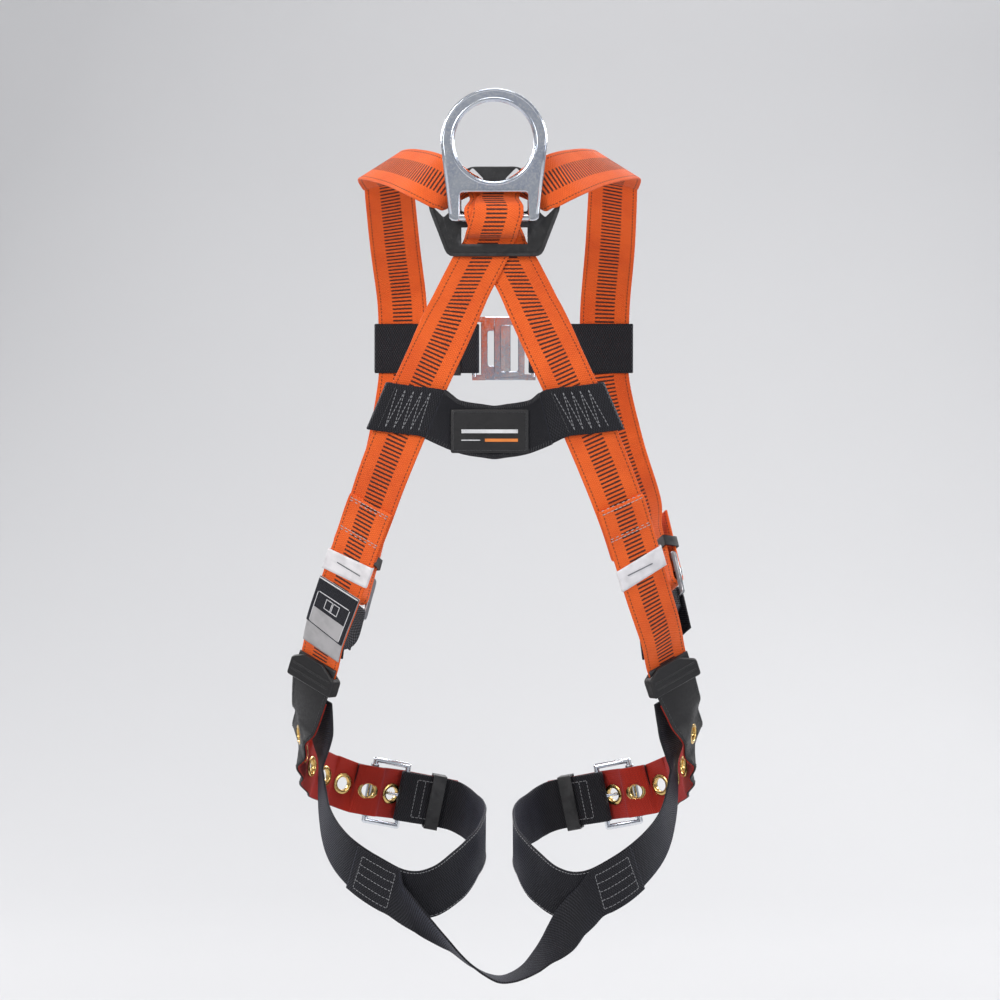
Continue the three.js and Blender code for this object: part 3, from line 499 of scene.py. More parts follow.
# The end faces of a strap's solid: two level triangles whose outer edges all turn sharply.
def endFaces(verts, faces, normals, meeting):
    found = []
    for (a, b), pair in meeting.items():
        first, second = pair
        if abs(float(np.dot(normals[first], normals[second]))) < endSet["level"]:
            continue
        c = next(v for v in faces[first] if v not in (a, b))
        d = next(v for v in faces[second] if v not in (a, b))
        loop = [a, c, b, d]
        if np.linalg.norm(verts[a] - verts[c]) < np.linalg.norm(verts[c] - verts[b]):
            loop = [c, b, d, a]
        wide = np.linalg.norm(verts[loop[0]] - verts[loop[1]])
        thick = np.linalg.norm(verts[loop[1]] - verts[loop[2]])
        if thick > endSet["thickest"] or wide < endSet["narrowest"]:
            continue
        turns = []
        for p, q in zip(loop, loop[1:] + loop[:1]):
            around = meeting[min(p, q), max(p, q)]
            turns.append(abs(float(np.dot(normals[around[0]], normals[around[1]]))))
        if max(turns) < endSet["sharp"]:
            found.append((loop, thick, wide, set(pair)))
    # two real ends are equally thick and equally wide
    pairs = [(a, b) for i, a in enumerate(found) for b in found[i + 1:]]
    return min(pairs, key=lambda pair: abs(pair[0][1] - pair[1][1]) + abs(pair[0][2] - pair[1][2]))


# The two long thin sides of a strap's solid, as middle lines from one end to the other.
def edgesOf(node):
    verts, faces = welded(node)
    normals = [np.cross(verts[f[1]] - verts[f[0]], verts[f[2]] - verts[f[0]]) for f in faces]
    normals = [n / max(np.linalg.norm(n), 1e-18) for n in normals]
    meeting = {}
    for index, face in enumerate(faces):
        for a, b in zip(face, face[1:] + face[:1]):
            meeting.setdefault((min(a, b), max(a, b)), []).append(index)
    ends = endFaces(verts, faces, normals, meeting)
    start, thick, wide, _ = ends[0]
    caps = set().union(*(end[3] for end in ends))

    # a thin side's triangle is no taller than the strap is thick
    def thin(index):
        corners = verts[faces[index]]
        edges = sorted(np.linalg.norm(corners - np.roll(corners, 1, 0), axis=1))
        tall = np.linalg.norm(np.cross(corners[1] - corners[0], corners[2] - corners[0])) / edges[2]
        return index in caps or tall < thick + 3e-5 and not (abs(edges[1] - wide) < 4e-4 and edges[0] < 0.0019)

    far = ends[1][0]
    goals = [(verts[far[1]] + verts[far[2]]) / 2, (verts[far[0]] + verts[far[3]]) / 2]
    lines = []
    for pair in (start[1:3], (start[0], start[3])):
        reached = {}
        for weights in ((1, 0.5, 0), (0, 0.01, 1), (1, 0.5, 0.7), (1, 0, 1), (1, 0.2, 0.2), (1, 1, 0.5)):
            line = thinSide(verts, faces, normals, thin, meeting, caps, pair, thick, weights)
            for goal in (0, 1):
                if np.linalg.norm(line[-1] - goals[goal]) < 1e-4:
                    reached.setdefault(goal, line)
        lines.append(reached)
    choices = [(lines[0][g], lines[1][1 - g]) for g in (0, 1) if g in lines[0] and 1 - g in lines[1]]
    return choices[0] if choices else None


# Follows one thin side from triangle to triangle, keeping the middle of every edge that crosses it squarely.
def thinSide(verts, faces, normals, thin, meeting, caps, pair, thick, weights):
    p, q = pair
    middles, used = [(verts[p] + verts[q]) / 2], set(caps)
    while True:
        ahead = [face for face in meeting[min(p, q), max(p, q)] if face not in used]
        if not ahead:
            return np.array(middles)
        face = ahead[0]
        used.add(face)
        r = next(v for v in faces[face] if v not in (p, q))
        scores = []
        for other in (p, q):
            beyond = next(index for index in meeting[min(other, r), max(other, r)] if index != face)
            size = np.linalg.norm(verts[other] - verts[r])
            level = abs(float(np.dot(normals[face], normals[beyond])))
            signs = (level, abs(size - thick) < 4e-5, thin(beyond))
            scores.append((sum(w * v for w, v in zip(weights, signs)), other, size))
        _, kept, size = max(scores)
        p, q = kept, r
        if abs(size - thick) < 6e-5:
            middles.append((verts[p] + verts[q]) / 2)


# Pairs the points of one edge with the points straight across on the other.
def pairAcross(left, right):
    if len(left) == len(right):
        return left, right
    fine = [right[0]]
    for a, b in zip(right[:-1], right[1:]):
        count = max(1, int(np.linalg.norm(b - a) / 0.0005))
        fine += [a + (b - a) * k / count for k in range(1, count + 1)]
    fine = np.array(fine)
    matched, last = [], 0
    for point in left:
        window = fine[last:last + 160]
        last += int(np.argmin(np.linalg.norm(window - point, axis=1)))
        matched.append(fine[last])
    return left, np.array(matched)


def slopesOf(points, knots):
    d = np.diff(points, axis=0) / np.diff(knots)[:, None]
    h = np.diff(knots)[:, None]
    inner = (d[1:] * h[:-1] + d[:-1] * h[1:]) / (h[1:] + h[:-1])
    return np.concatenate([d[:1], inner, d[-1:]])


# Where a strap slides sideways its face is kept from flipping over.
def keepSide(normal):
    for i in range(1, len(normal)):
        if normal[i] @ normal[i - 1] < 0:
            normal[i] = -normal[i]


# A strap's middle line, half width and outward normal, finely spaced, taken from its CAD solid.
def routeOf(node, about=(0, 0), step=0.0022):
    pair = edgesOf(node)
    if pair is None:
        return None
    left, right = pairAcross(*pair)
    centre, half = (left + right) / 2, (right - left) / 2
    keep = np.concatenate([[True], np.linalg.norm(np.diff(centre, axis=0), axis=1) > 1e-5])
    centre, half = centre[keep], half[keep]
    chord = np.linalg.norm(np.diff(centre, axis=0), axis=1)
    knots = np.concatenate([[0], np.cumsum(np.sqrt(chord))])
    travel = np.diff(centre, axis=0) / chord[:, None]
    turning = np.arccos(np.clip((travel[1:] * travel[:-1]).sum(1), -1, 1))
    turning = np.maximum(np.concatenate([turning, [0]]), np.concatenate([[0], turning]))

    m1, m2 = slopesOf(centre, knots), slopesOf(half, knots)
    fine, fineHalf, fineTravel = [], [], []
    for i in range(len(chord)):
        count = max(1, math.ceil(chord[i] / step), math.ceil(turning[i] / 0.2))
        t = (np.arange(count + (i == len(chord) - 1)) / count)[:, None]
        h = knots[i + 1] - knots[i]
        base = [2 * t**3 - 3 * t**2 + 1, (t**3 - 2 * t**2 + t) * h, -2 * t**3 + 3 * t**2, (t**3 - t**2) * h]
        rate = [6 * t**2 - 6 * t, (3 * t**2 - 4 * t + 1) * h, 6 * t - 6 * t**2, (3 * t**2 - 2 * t) * h]
        fine.append(base[0] * centre[i] + base[1] * m1[i] + base[2] * centre[i + 1] + base[3] * m1[i + 1])
        fineTravel.append(rate[0] * centre[i] + rate[1] * m1[i] + rate[2] * centre[i + 1] + rate[3] * m1[i + 1])
        turned = base[0] * half[i] + base[1] * m2[i] + base[2] * half[i + 1] + base[3] * m2[i + 1]
        reach = np.linalg.norm(half[i]) * (1 - t) + np.linalg.norm(half[i + 1]) * t
        fineHalf.append(turned / np.linalg.norm(turned, axis=1)[:, None] * reach)
    centre, half, travel = np.concatenate(fine), np.concatenate(fineHalf), np.concatenate(fineTravel)
    normal = np.cross(half, travel)
    normal /= np.linalg.norm(normal, axis=1)[:, None]
    keepSide(normal)
    padded = np.concatenate([normal[:1], normal, normal[-1:]])
    normal = padded[:-2] + 2 * normal + padded[2:]
    normal /= np.linalg.norm(normal, axis=1)[:, None]
    outward = centre[:, :2] - np.array(about)
    if (normal[:, :2] * outward).sum() < 0:
        half, normal = -half, -normal
    length = np.concatenate([[0], np.cumsum(np.linalg.norm(np.diff(centre, axis=0), axis=1))])
    return {"centre": centre, "half": half, "normal": normal, "length": length}


def atRoute(route, distance, key):
    return np.stack([np.interp(distance, route["length"], route[key][:, i]) for i in range(3)], axis=-1)


# Spreads a sharp twist over a longer stretch and squares the strap's width to its travel.
def relaxed(route, reach=0.009, start=0.0):
    centre, half, length = route["centre"], route["half"], route["length"]
    travel = np.gradient(centre, axis=0)
    weights = np.exp(-0.5 * ((length[:, None] - length[None, :]) / reach) ** 2)
    weights *= np.gradient(length)[None, :]
    weights /= weights.sum(1, keepdims=True)
    sideways, ahead = weights @ half, weights @ (travel / np.linalg.norm(travel, axis=1)[:, None])
    ahead /= np.linalg.norm(ahead, axis=1)[:, None]
    sideways -= ahead * (sideways * ahead).sum(1)[:, None]
    sideways *= (np.linalg.norm(half, axis=1) / np.linalg.norm(sideways, axis=1))[:, None]
    share = np.clip((length - start) / 0.012, 0, 1)[:, None]
    blended = half * (1 - share) + sideways * share
    blended *= (np.linalg.norm(half, axis=1) / np.linalg.norm(blended, axis=1))[:, None]
    normal = np.cross(blended, travel)
    normal /= np.linalg.norm(normal, axis=1)[:, None]
    keepSide(normal)
    return {"centre": centre, "half": blended, "normal": normal, "length": length}


# Points on a strap: distance along it, metres from its middle line, and height over its middle surface.
def onRoute(route, distance, sideways, lift):
    half = atRoute(route, distance, "half")
    size = np.linalg.norm(half, axis=-1, keepdims=True)
    normal = atRoute(route, distance, "normal")
    normal = normal / np.linalg.norm(normal, axis=-1, keepdims=True)
    point = atRoute(route, distance, "centre") + half / size * np.asarray(sideways)[..., None]
    return point + normal * np.asarray(lift)[..., None], normal


def nearest(route, point, facing=None):
    gap = ((route["centre"] - np.array(point)) ** 2).sum(1)
    if facing is not None:
        gap = gap + (route["normal"] @ np.array(facing) < 0) * 1.0
    return float(route["length"][np.argmin(gap)])


# Webbing with rounded selvedges along a whole route or a stretch of it.
def webbing(name, route, thick, material, body, slot, stretch=None, lift=0.0, width=None, bow=0.0):
    length = route["length"]
    if stretch:
        length = np.linspace(stretch[0], stretch[1], max(2, int((stretch[1] - stretch[0]) / 0.0022)))
    across = np.array([-1, -0.985, -0.94, -0.75, -0.4, 0, 0.4, 0.75, 0.94, 0.985, 1])
    rise = np.array([0, 0.74, 1.03, 0.97, 1, 1, 1, 0.97, 1.03, 0.74, 0])
    loop = np.concatenate([across, across[-2:0:-1]])
    heights = np.concatenate([rise, -rise[-2:0:-1]]) * thick / 2
    half = atRoute(route, length, "half")
    normal = atRoute(route, length, "normal")
    normal /= np.linalg.norm(normal, axis=1)[:, None]
    if width:
        half = half / np.linalg.norm(half, axis=1)[:, None] * width / 2
    centre = atRoute(route, length, "centre") + normal * lift
    wide = np.linalg.norm(half, axis=1)
    crown = heights[None, :] + bow * (1 - loop**2)[None, :]
    verts = centre[:, None] + half[:, None] * loop[None, :, None] + normal[:, None] * crown[:, :, None]
    uv = np.stack(np.broadcast_arrays((loop[None, :] + 1) * wide[:, None], length[:, None]), axis=-1)
    rows, ring = len(length), len(loop)
    faces = bandFaces(rows, ring)
    faces += [tuple(range(ring))[::-1], tuple((rows - 1) * ring + k for k in range(ring))]
    return addPiece(name, verts.reshape(-1, 3), faces, material, body, slot, uv=uv.reshape(-1, 2))


# ---------- sewing ----------
threadSet = {"radius": 0.00034, "pitch": 0.0034, "gap": 0.28, "arch": 0.00022, "turns": 6}


# Stitches along a path of (distance, sideways) corners on a strap.
def stitches(route, corners, lift, pitch=None, gap=None):
    pitch = pitch or threadSet["pitch"]
    gap = threadSet["gap"] if gap is None else gap
    lines = []
    for (s0, t0), (s1, t1) in zip(corners[:-1], corners[1:]):
        run = math.hypot(s1 - s0, t1 - t0)
        count = max(1, round(run / pitch))
        for k in range(count):
            f = np.linspace((k + gap / 2) / count, (k + 1 - gap / 2) / count, 5)
            arch = np.array([-1.0, 0.6, 1.0, 0.6, -1.0]) * threadSet["arch"]
            lines.append(onRoute(route, s0 + (s1 - s0) * f, t0 + (t1 - t0) * f, lift + arch))
    return lines


def sew(name, lines, material, body, slot, radius=None):
    radius = radius or threadSet["radius"]
    points = np.array([line[0] for line in lines])
    normals = np.array([line[1] for line in lines])
    travel = np.gradient(points, axis=1)
    travel /= np.linalg.norm(travel, axis=2, keepdims=True)
    side = np.cross(travel, normals)
    side /= np.linalg.norm(side, axis=2, keepdims=True)
    up = np.cross(side, travel)
    turns = threadSet["turns"]
    angles = np.arange(turns) * 2 * math.pi / turns
    taper = np.array([0.6, 1, 1, 1, 0.6])[None, :, None, None] * radius
    turn = angles[None, None, :, None]
    ring = np.cos(turn) * side[:, :, None] + np.sin(turn) * up[:, :, None]
    verts = (points[:, :, None] + ring * taper).reshape(-1, 3)
    stitch = []
    for p in range(4):
        for k in range(turns):
            a, b = p * turns + k, p * turns + (k + 1) % turns
            stitch.append((a, b, b + turns, a + turns))
    ends = [tuple(range(turns))[::-1], tuple(4 * turns + k for k in range(turns))]
    block = 5 * turns
    faces = [tuple(i + n * block for i in face) for n in range(len(lines)) for face in stitch + ends]
    return addPiece(name, verts, faces, material, body, slot)


# A rectangle of stitches with rows inside it.
def boxStitch(route, s0, s1, t0, t1, lift, rows=3, lengthwise=True):
    lines = stitches(route, [(s0, t0), (s1, t0), (s1, t1), (s0, t1), (s0, t0)], lift)
    for k in range(1, rows + 1):
        f = k / (rows + 1)
        if lengthwise:
            lines += stitches(route, [(s0, t0 + (t1 - t0) * f), (s1, t0 + (t1 - t0) * f)], lift)
        else:
            lines += stitches(route, [(s0 + (s1 - s0) * f, t0), (s0 + (s1 - s0) * f, t1)], lift)
    return lines


# Long zigzag stitches, the strokes nearly across the strap.
def zigzag(route, s0, s1, half, lift, strokes):
    corners = [(s0 + (s1 - s0) * k / strokes, half if k % 2 else -half) for k in range(strokes + 1)]
    return stitches(route, corners, lift)


def keyed(node):
    return bodyOf[node], slotOf[node]


webSet = {"thick": 0.0018, "lining": 0.0012, "surface": 0.00098}
surface = webSet["surface"]
routes = {}
shown = {}


lowerSet = {"spread": 0.013, "start": 0.062}


# The lower strap runs straight round the adjuster and twists only on its way to the hip.
def easedLower(route, name):
    adjuster = np.array(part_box(name.replace("lower_strap", "adjuster_bar"))).mean(0)
    near = np.linalg.norm(route["centre"] - adjuster, axis=1)
    if near[0] > near[-1]:
        route = {"centre": route["centre"][::-1], "half": -route["half"][::-1], "normal": route["normal"][::-1],
                 "length": route["length"][-1] - route["length"][::-1]}
    # of the two ways to turn its width it takes the shorter
    half = route["half"].copy()
    if half[0] @ half[-1] < 0:
        rate = np.linalg.norm(np.diff(half, axis=0), axis=1) / np.diff(route["length"])
        half[int(np.argmax(rate)) + 1:] *= -1
    return relaxed({**route, "half": half}, lowerSet["spread"], lowerSet["start"])


def makeStraps():
    abouts = {}
    for side, sign in sides.items():
        abouts[f"leg_strap_{side}"] = (sign * 0.085, 0.0)
    plain = ["shoulder_strap", "lower_strap", "leg_strap", "chest_strap"]
    names = [f"{kind}_{side}" for kind in plain for side in sides] + ["seat_strap", "back_band"]
    for name in names:
        routes[name] = routeOf(name, abouts.get(name, (0, 0)))
        if name.startswith("lower_strap"):
            routes[name] = easedLower(routes[name], name)
        body, slot = keyed(name)
        shown[name] = webbing(f"{name}.cloth", routes[name], webSet["thick"], slotNames[slot], body, slot)
        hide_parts(name)
    for kind, thick in (("tongue_strap", webSet["thick"]), ("tongue_lining", webSet["lining"])):
        for side in sides:
            name = f"{kind}_{side}"
            routes[name] = routeOf(name)
            body, slot = keyed(name)
            shown[name] = webbing(f"{name}.cloth", routes[name], thick, slotNames[slot], body, slot)
            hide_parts(name)


makeStraps()
print("straps made:", len(shown))


# ---------- small parts ----------
# The place, axes and half sizes of a node, longest axis first.
def axesOf(node):
    verts, _ = welded(node)
    low = verts - verts.mean(0)
    _, vectors = np.linalg.eigh(low.T @ low)
    axes = vectors.T[::-1]
    spans = np.array([(verts @ axis).max() - (verts @ axis).min() for axis in axes])
    centre = sum(axis * ((verts @ axis).max() + (verts @ axis).min()) / 2 for axis in axes)
    order = np.argsort(-spans)
    return centre, axes[order], spans[order] / 2


# The CAD shape with softened, smoothly shaded edges.
def refined(node, bevel=0.0004, segments=2, angle=32, material=None):
    verts, faces = welded(node)
    body, slot = keyed(node)
    piece = addPiece(f"{node}.part", verts, faces, material or slotNames[slot], body, slot)
    shape = bmesh.new()
    shape.from_mesh(piece.data)
    bmesh.ops.dissolve_limit(shape, angle_limit=math.radians(1.0), verts=shape.verts, edges=shape.edges)
    for edge in shape.edges:
        if len(edge.link_faces) == 2 and edge.calc_face_angle(0) > math.radians(angle):
            edge.smooth = False
    shape.to_mesh(piece.data)
    shape.free()
    if bevel:
        soft = piece.modifiers.new("softEdges", "BEVEL")
        soft.width = bevel
        soft.segments = segments
        soft.limit_method = "ANGLE"
        soft.angle_limit = math.radians(angle)
        soft.harden_normals = True
        soft.use_clamp_overlap = True
    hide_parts(node)
    return piece


# A surface of revolution from (radius, height) points about an axis.
def lathed(profile, centre, axis, steps=40):
    axis = Vector(axis).normalized()
    turn = axis.to_track_quat("Z", "X").to_matrix()
    verts, faces = [], []
    count = len(profile)
    for k in range(steps):
        angle = 2 * math.pi * k / steps
        for radius, height in profile:
            corner = Vector((radius * math.cos(angle), radius * math.sin(angle), height))
            verts.append(Vector(centre) + turn @ corner)
        for j in range(count):
            a, b = k * count + j, k * count + (j + 1) % count
            c, d = ((k + 1) % steps) * count + (j + 1) % count, ((k + 1) % steps) * count + j
            faces.append((a, d, c, b))
    return verts, faces


grommetSet = {"outer": 0.0095, "hole": 0.0058, "barrel": 0.0063, "crown": 0.00095}


def makeGrommets():
    for side in sides:
        holes = []
        for number in range(1, 8):
            node = f"grommet_{side}_{number}"
            centre, axes, halves = axesOf(node)
            axis = axes[2]
            holes.append((centre, axis))
            outer, hole, barrel = grommetSet["outer"], grommetSet["hole"], grommetSet["barrel"]
            top = halves[2]
            flat = top - grommetSet["crown"]
            upper = [(hole, 0.4 * flat), (hole + 0.0001, flat), (hole + 0.0006, top - 0.0001), (hole + 0.0015, top),
                     (outer - 0.0012, top - 0.0002), (outer - 0.0003, top - 0.0006), (outer, flat),
                     (outer - 0.0002, flat - 0.0001), (barrel, flat - 0.00012)]
            profile = upper + [(radius, -height) for radius, height in reversed(upper)]
            verts, faces = lathed(profile, centre, axis)
            body, slot = keyed(node)
            piece = addPiece(f"{node}.eyelet", verts, faces, "brass", body, slot)
            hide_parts(node)
        for kind in ("tongue_strap", "tongue_lining"):
            punch(shown[f"{kind}_{side}"], holes, grommetSet["barrel"] + 0.0003)


# Cuts round holes through a piece.
def punch(piece, holes, radius):
    shape = bmesh.new()
    for centre, axis in holes:
        turn = Vector(axis).to_track_quat("Z", "X").to_matrix().to_4x4()
        bmesh.ops.create_cone(shape, cap_ends=True, segments=28, radius1=radius, radius2=radius, depth=0.012,
                              matrix=Matrix.Translation(Vector(centre)) @ turn)
    cutWith(piece, shape)


def cutWith(piece, shape):
    mesh = bpy.data.meshes.new("cutter")
    shape.to_mesh(mesh)
    shape.free()
    cutter = bpy.data.objects.new("cutter", mesh)
    bpy.context.collection.objects.link(cutter)
    cut = piece.modifiers.new("holes", "BOOLEAN")
    cut.operation = "DIFFERENCE"
    cut.solver = "EXACT"
    cut.object = cutter
    bpy.context.view_layer.update()
    made = bpy.data.meshes.new_from_object(piece.evaluated_get(bpy.context.evaluated_depsgraph_get()))
    piece.modifiers.clear()
    piece.data = made
    bpy.data.objects.remove(cutter)


makeGrommets()
print("grommets and holes made")


# ---------- dorsal ring ----------
ringSet = {"thick": 0.0065, "outer": 0.045, "hole": 0.0335, "foot": 0.038, "bevel": 0.0016, "lip": 0.0014,
           "barRadius": 0.0031, "slotHalf": 0.0285, "slotTop": -0.0202}


def curvePiece(name, splines, thick, bevel, resolution=4):
    data = bpy.data.curves.new(name, "CURVE")
    data.dimensions = "2D"
    data.fill_mode = "BOTH"
    data.extrude = thick / 2 - bevel
    data.bevel_depth = bevel
    data.bevel_resolution = resolution
    data.offset = -bevel
    for points in splines:
        line = data.splines.new("POLY")
        line.points.add(len(points) - 1)
        line.points.foreach_set("co", np.array([(x, y, 0, 1) for x, y in points]).ravel())
        line.use_cyclic_u = True
    made = bpy.data.objects.new(name, data)
    bpy.context.collection.objects.link(made)
    bpy.context.view_layer.update()
    mesh = bpy.data.meshes.new_from_object(made.evaluated_get(bpy.context.evaluated_depsgraph_get()))
    bpy.data.objects.remove(made)
    return mesh


def rounded(corners, radius, steps=6):
    out = []
    for i, corner in enumerate(corners):
        p = Vector(corner)
        a = Vector(corners[i - 1]) - p
        b = Vector(corners[(i + 1) % len(corners)]) - p
        start, end = p + a.normalized() * radius, p + b.normalized() * radius
        for k in range(steps + 1):
            t = k / steps
            out.append(tuple((1 - t) ** 2 * start + 2 * t * (1 - t) * p + t * t * end))
    return out


def tubeAlong(points, radius, closed=True, sides=10, squash=1.0, flat=(0, 1, 0)):
    points = np.array(points, dtype=float)
    travel = np.roll(points, -1, 0) - np.roll(points, 1, 0) if closed else np.gradient(points, axis=0)
    travel /= np.linalg.norm(travel, axis=1)[:, None]
    up = np.broadcast_to(np.array(flat, dtype=float), points.shape)
    side = np.cross(travel, up)
    side /= np.linalg.norm(side, axis=1)[:, None]
    up = np.cross(side, travel)
    angles = np.arange(sides) * 2 * math.pi / sides
    ring = np.cos(angles)[None, :, None] * side[:, None] + squash * np.sin(angles)[None, :, None] * up[:, None]
    verts = (points[:, None] + radius * ring).reshape(-1, 3)
    count = len(points)
    faces = bandFaces(count, sides, closed)
    if not closed:
        faces += [tuple(range(sides))[::-1], tuple((count - 1) * sides + k for k in range(sides))]
    return verts, faces


def makeRing():
    low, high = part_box("dorsal_ring")
    y = (low[1] + high[1]) / 2
    eyeZ = high[2] - ringSet["outer"]
    barZ = low[2] + 0.0032
    foot, outer, hole = ringSet["foot"], ringSet["outer"], ringSet["hole"]
    arc = [(outer * math.cos(a), eyeZ + outer * math.sin(a)) for a in np.linspace(-0.05, math.pi + 0.05, 64)]
    inner, slotTop = ringSet["slotHalf"], ringSet["slotTop"]
    feet = [(-foot - 0.0004, barZ + 0.004), (-foot, barZ - 0.0005), (-foot + 0.0022, barZ - 0.0026),
            (-foot + 0.005, barZ - 0.0032), (-inner - 0.0023, barZ - 0.0032), (-inner - 0.0011, barZ - 0.0026),
            (-inner - 0.0003, barZ - 0.001), (-inner, barZ + 0.003), (-inner, slotTop - 0.0023),
            (-inner + 0.0006, slotTop - 0.0007), (-inner + 0.002, slotTop)]
    slot = feet + [(-x, z) for x, z in reversed(feet)]
    outline = arc + slot
    around = np.linspace(0, 2 * math.pi, 80, endpoint=False)
    eye = [(hole * math.cos(a), eyeZ + hole * math.sin(a)) for a in around]
    mesh = curvePiece("ringPlate", [outline, eye], ringSet["thick"], ringSet["bevel"])
    mesh.transform(Matrix.Translation((0, y, 0)) @ Matrix.Rotation(math.pi / 2, 4, "X"))
    body, slotName = keyed("dorsal_ring")
    mesh.polygons.foreach_set("use_smooth", [True] * len(mesh.polygons))
    plate = placePiece("dorsal_ring.plate", mesh, "zinc", body, slotName)
    sharp = bmesh.new()
    sharp.from_mesh(plate.data)
    bmesh.ops.remove_doubles(sharp, verts=sharp.verts, dist=1e-6)
    for edge in sharp.edges:
        edge.smooth = edge.calc_face_angle(0) < math.radians(40)
    sharp.to_mesh(plate.data)
    sharp.free()
    # the raised lip round the eye and down the inner sides, on both faces
    for face, name in ((-1, "rear"), (1, "front")):
        level = y + face * (ringSet["thick"] / 2 - 0.0003)
        lipRadius = hole + 0.0024
        line = [(lipRadius * math.cos(a), level, eyeZ + lipRadius * math.sin(a))
                for a in np.linspace(0, 2 * math.pi, 96, endpoint=False)]
        verts, faces = tubeAlong(line, ringSet["lip"], squash=0.55)
        addPiece(f"dorsal_ring.lip.{name}", verts, faces, "zinc", body, slotName)
        outerLine = [(x * 0.962, level, eyeZ + (z - eyeZ) * 0.962) for x, z in arc]
        legs = [(-0.0362, level, barZ + 0.003), (0.0362, level, barZ + 0.003)]
        verts, faces = tubeAlong([legs[1], *outerLine, legs[0]], ringSet["lip"] * 0.8, closed=False, squash=0.5)
        addPiece(f"dorsal_ring.ridge.{name}", verts, faces, "zinc", body, slotName)
    bar = [(x, y, barZ) for x in np.linspace(-0.0335, 0.0335, 20)]
    verts, faces = tubeAlong(bar, ringSet["barRadius"], closed=False, sides=24, flat=(0, 0, 1))
    addPiece("dorsal_ring.bar", verts, faces, "zinc", body, slotName)
    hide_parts("dorsal_ring")


makeRing()
print("ring made")


# ---------- hardware ----------
def makeHardware():
    refined("dorsal_plate", bevel=0.0005)
    for side in sides:
        refined(f"adjuster_frame_{side}", 0.0005)
        refined(f"adjuster_bar_{side}", 0.0005)
        refined(f"torso_keeper_{side}", 0.0004)
        refined(f"leg_keeper_{side}", 0.0004)
        refined(f"hip_sleeve_{side}", 0.0006, 3, material="vinyl")
        refined(f"buckle_frame_{side}", 0)
        refined(f"buckle_roller_{side}", 0.0003)
        refined(f"buckle_prong_{side}", 0.0002)
    refined("chest_frame", 0.0005)
    refined("chest_link", 0.0005)
    refined("chest_keeper", 0.0004)


makeHardware()
print("hardware made")


# ---------- labels, patch and sleeve on the back band ----------
bandSet = {"patchHalf": (0.033, 0.0185), "sleeveHalf": 0.05, "sleeveThick": 0.0026}


def makeBand():
    band = routes["back_band"]
    body, slot = keyed("back_band")
    middle = nearest(band, (-0.004, -0.115, -0.222), (0, -1, 0))
    reach = bandSet["sleeveHalf"]
    webbing("back_band.sleeve", band, bandSet["sleeveThick"], "sleeve", body, slot,
            (middle - reach, middle + reach), width=0.0456)
    edge = []
    for t in (-0.0222, 0.0222):
        count = int(2 * reach / 0.0017)
        for k in range(count):
            s = middle - reach + 2 * reach * (k + 0.5) / count
            inward = -0.0035 if t > 0 else 0.0035
            edge += stitches(band, [(s, t + inward * 0.1), (s + 0.0006, t + inward)], 0.0014, 0.004, 0.0)
    sew("back_band.overlock", edge, "blackThread", body, slot, 0.00028)
    for name, point in (("right", (0.073, -0.108, -0.203)), ("left", (-0.073, -0.108, -0.203))):
        s = nearest(band, point, (0, -1, 0))
        lines = zigzag(band, s - 0.0165, s + 0.0165, 0.0175, surface, 9)
        sew(f"back_band.zigzag.{name}", lines, "greyThread", body, slot)
        lines = stitches(band, [(s - 0.0185, -0.019), (s - 0.0185, 0.019)], surface)
        sew(f"back_band.tack.{name}", lines, "blackThread", body, slot)
    # the plain patch, slightly crowned, with its stitched outline and two plain printed bars
    wide, tall = bandSet["patchHalf"]
    low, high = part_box("back_patch")
    y0 = high[1] - 0.0001
    cx, cz = (low[0] + high[0]) / 2, (low[2] + high[2]) / 2
    patchBody, patchSlot = keyed("back_patch")
    verts = []
    outline = rounded([(-wide, -tall), (wide, -tall), (wide, tall), (-wide, tall)], 0.002, 4)
    rings = [(1.0, 0.0), (1.0, 0.0008), (0.985, 0.00115), (0.9, 0.0012), (0.5, 0.0013), (0.02, 0.00135)]
    for scale, rise in rings:
        verts += [(cx + x * scale, y0 - rise, cz + z * scale) for x, z in outline]
    count = len(outline)
    faces = bandFaces(len(rings), count)
    faces += [tuple(range(count))[::-1], tuple((len(rings) - 1) * count + k for k in range(count))]
    patch = addPiece("back_patch.pad", verts, faces, "vinyl", patchBody, patchSlot)
    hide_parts("back_patch")
    flat = {"centre": np.array([[cx - 0.05, y0 - 0.0011, cz], [cx + 0.05, y0 - 0.0011, cz]]),
            "half": np.array([[0, 0, 0.02], [0, 0, 0.02]]), "normal": np.array([[0, -1.0, 0], [0, -1.0, 0]]),
            "length": np.array([0, 0.1])}
    a, b = 0.05 - wide + 0.0022, 0.05 + wide - 0.0022
    c = tall - 0.0022
    lines = stitches(flat, [(a, -c), (b, -c), (b, c), (a, c), (a, -c)], 0.0001, 0.0024)
    sew("back_patch.outline", lines, "blackThread", patchBody, patchSlot, 0.0003)
    webbing("back_patch.barWhite", flat, 0.0003, "print", patchBody, patchSlot, (0.026, 0.074), 0.0003, 0.0032)
    stripe(flat, "back_patch.barOrange", "printOrange", patchBody, patchSlot, (0.046, 0.074), -0.0075, 0.0026)
    stripe(flat, "back_patch.barThin", "print", patchBody, patchSlot, (0.026, 0.042), -0.0075, 0.0008)


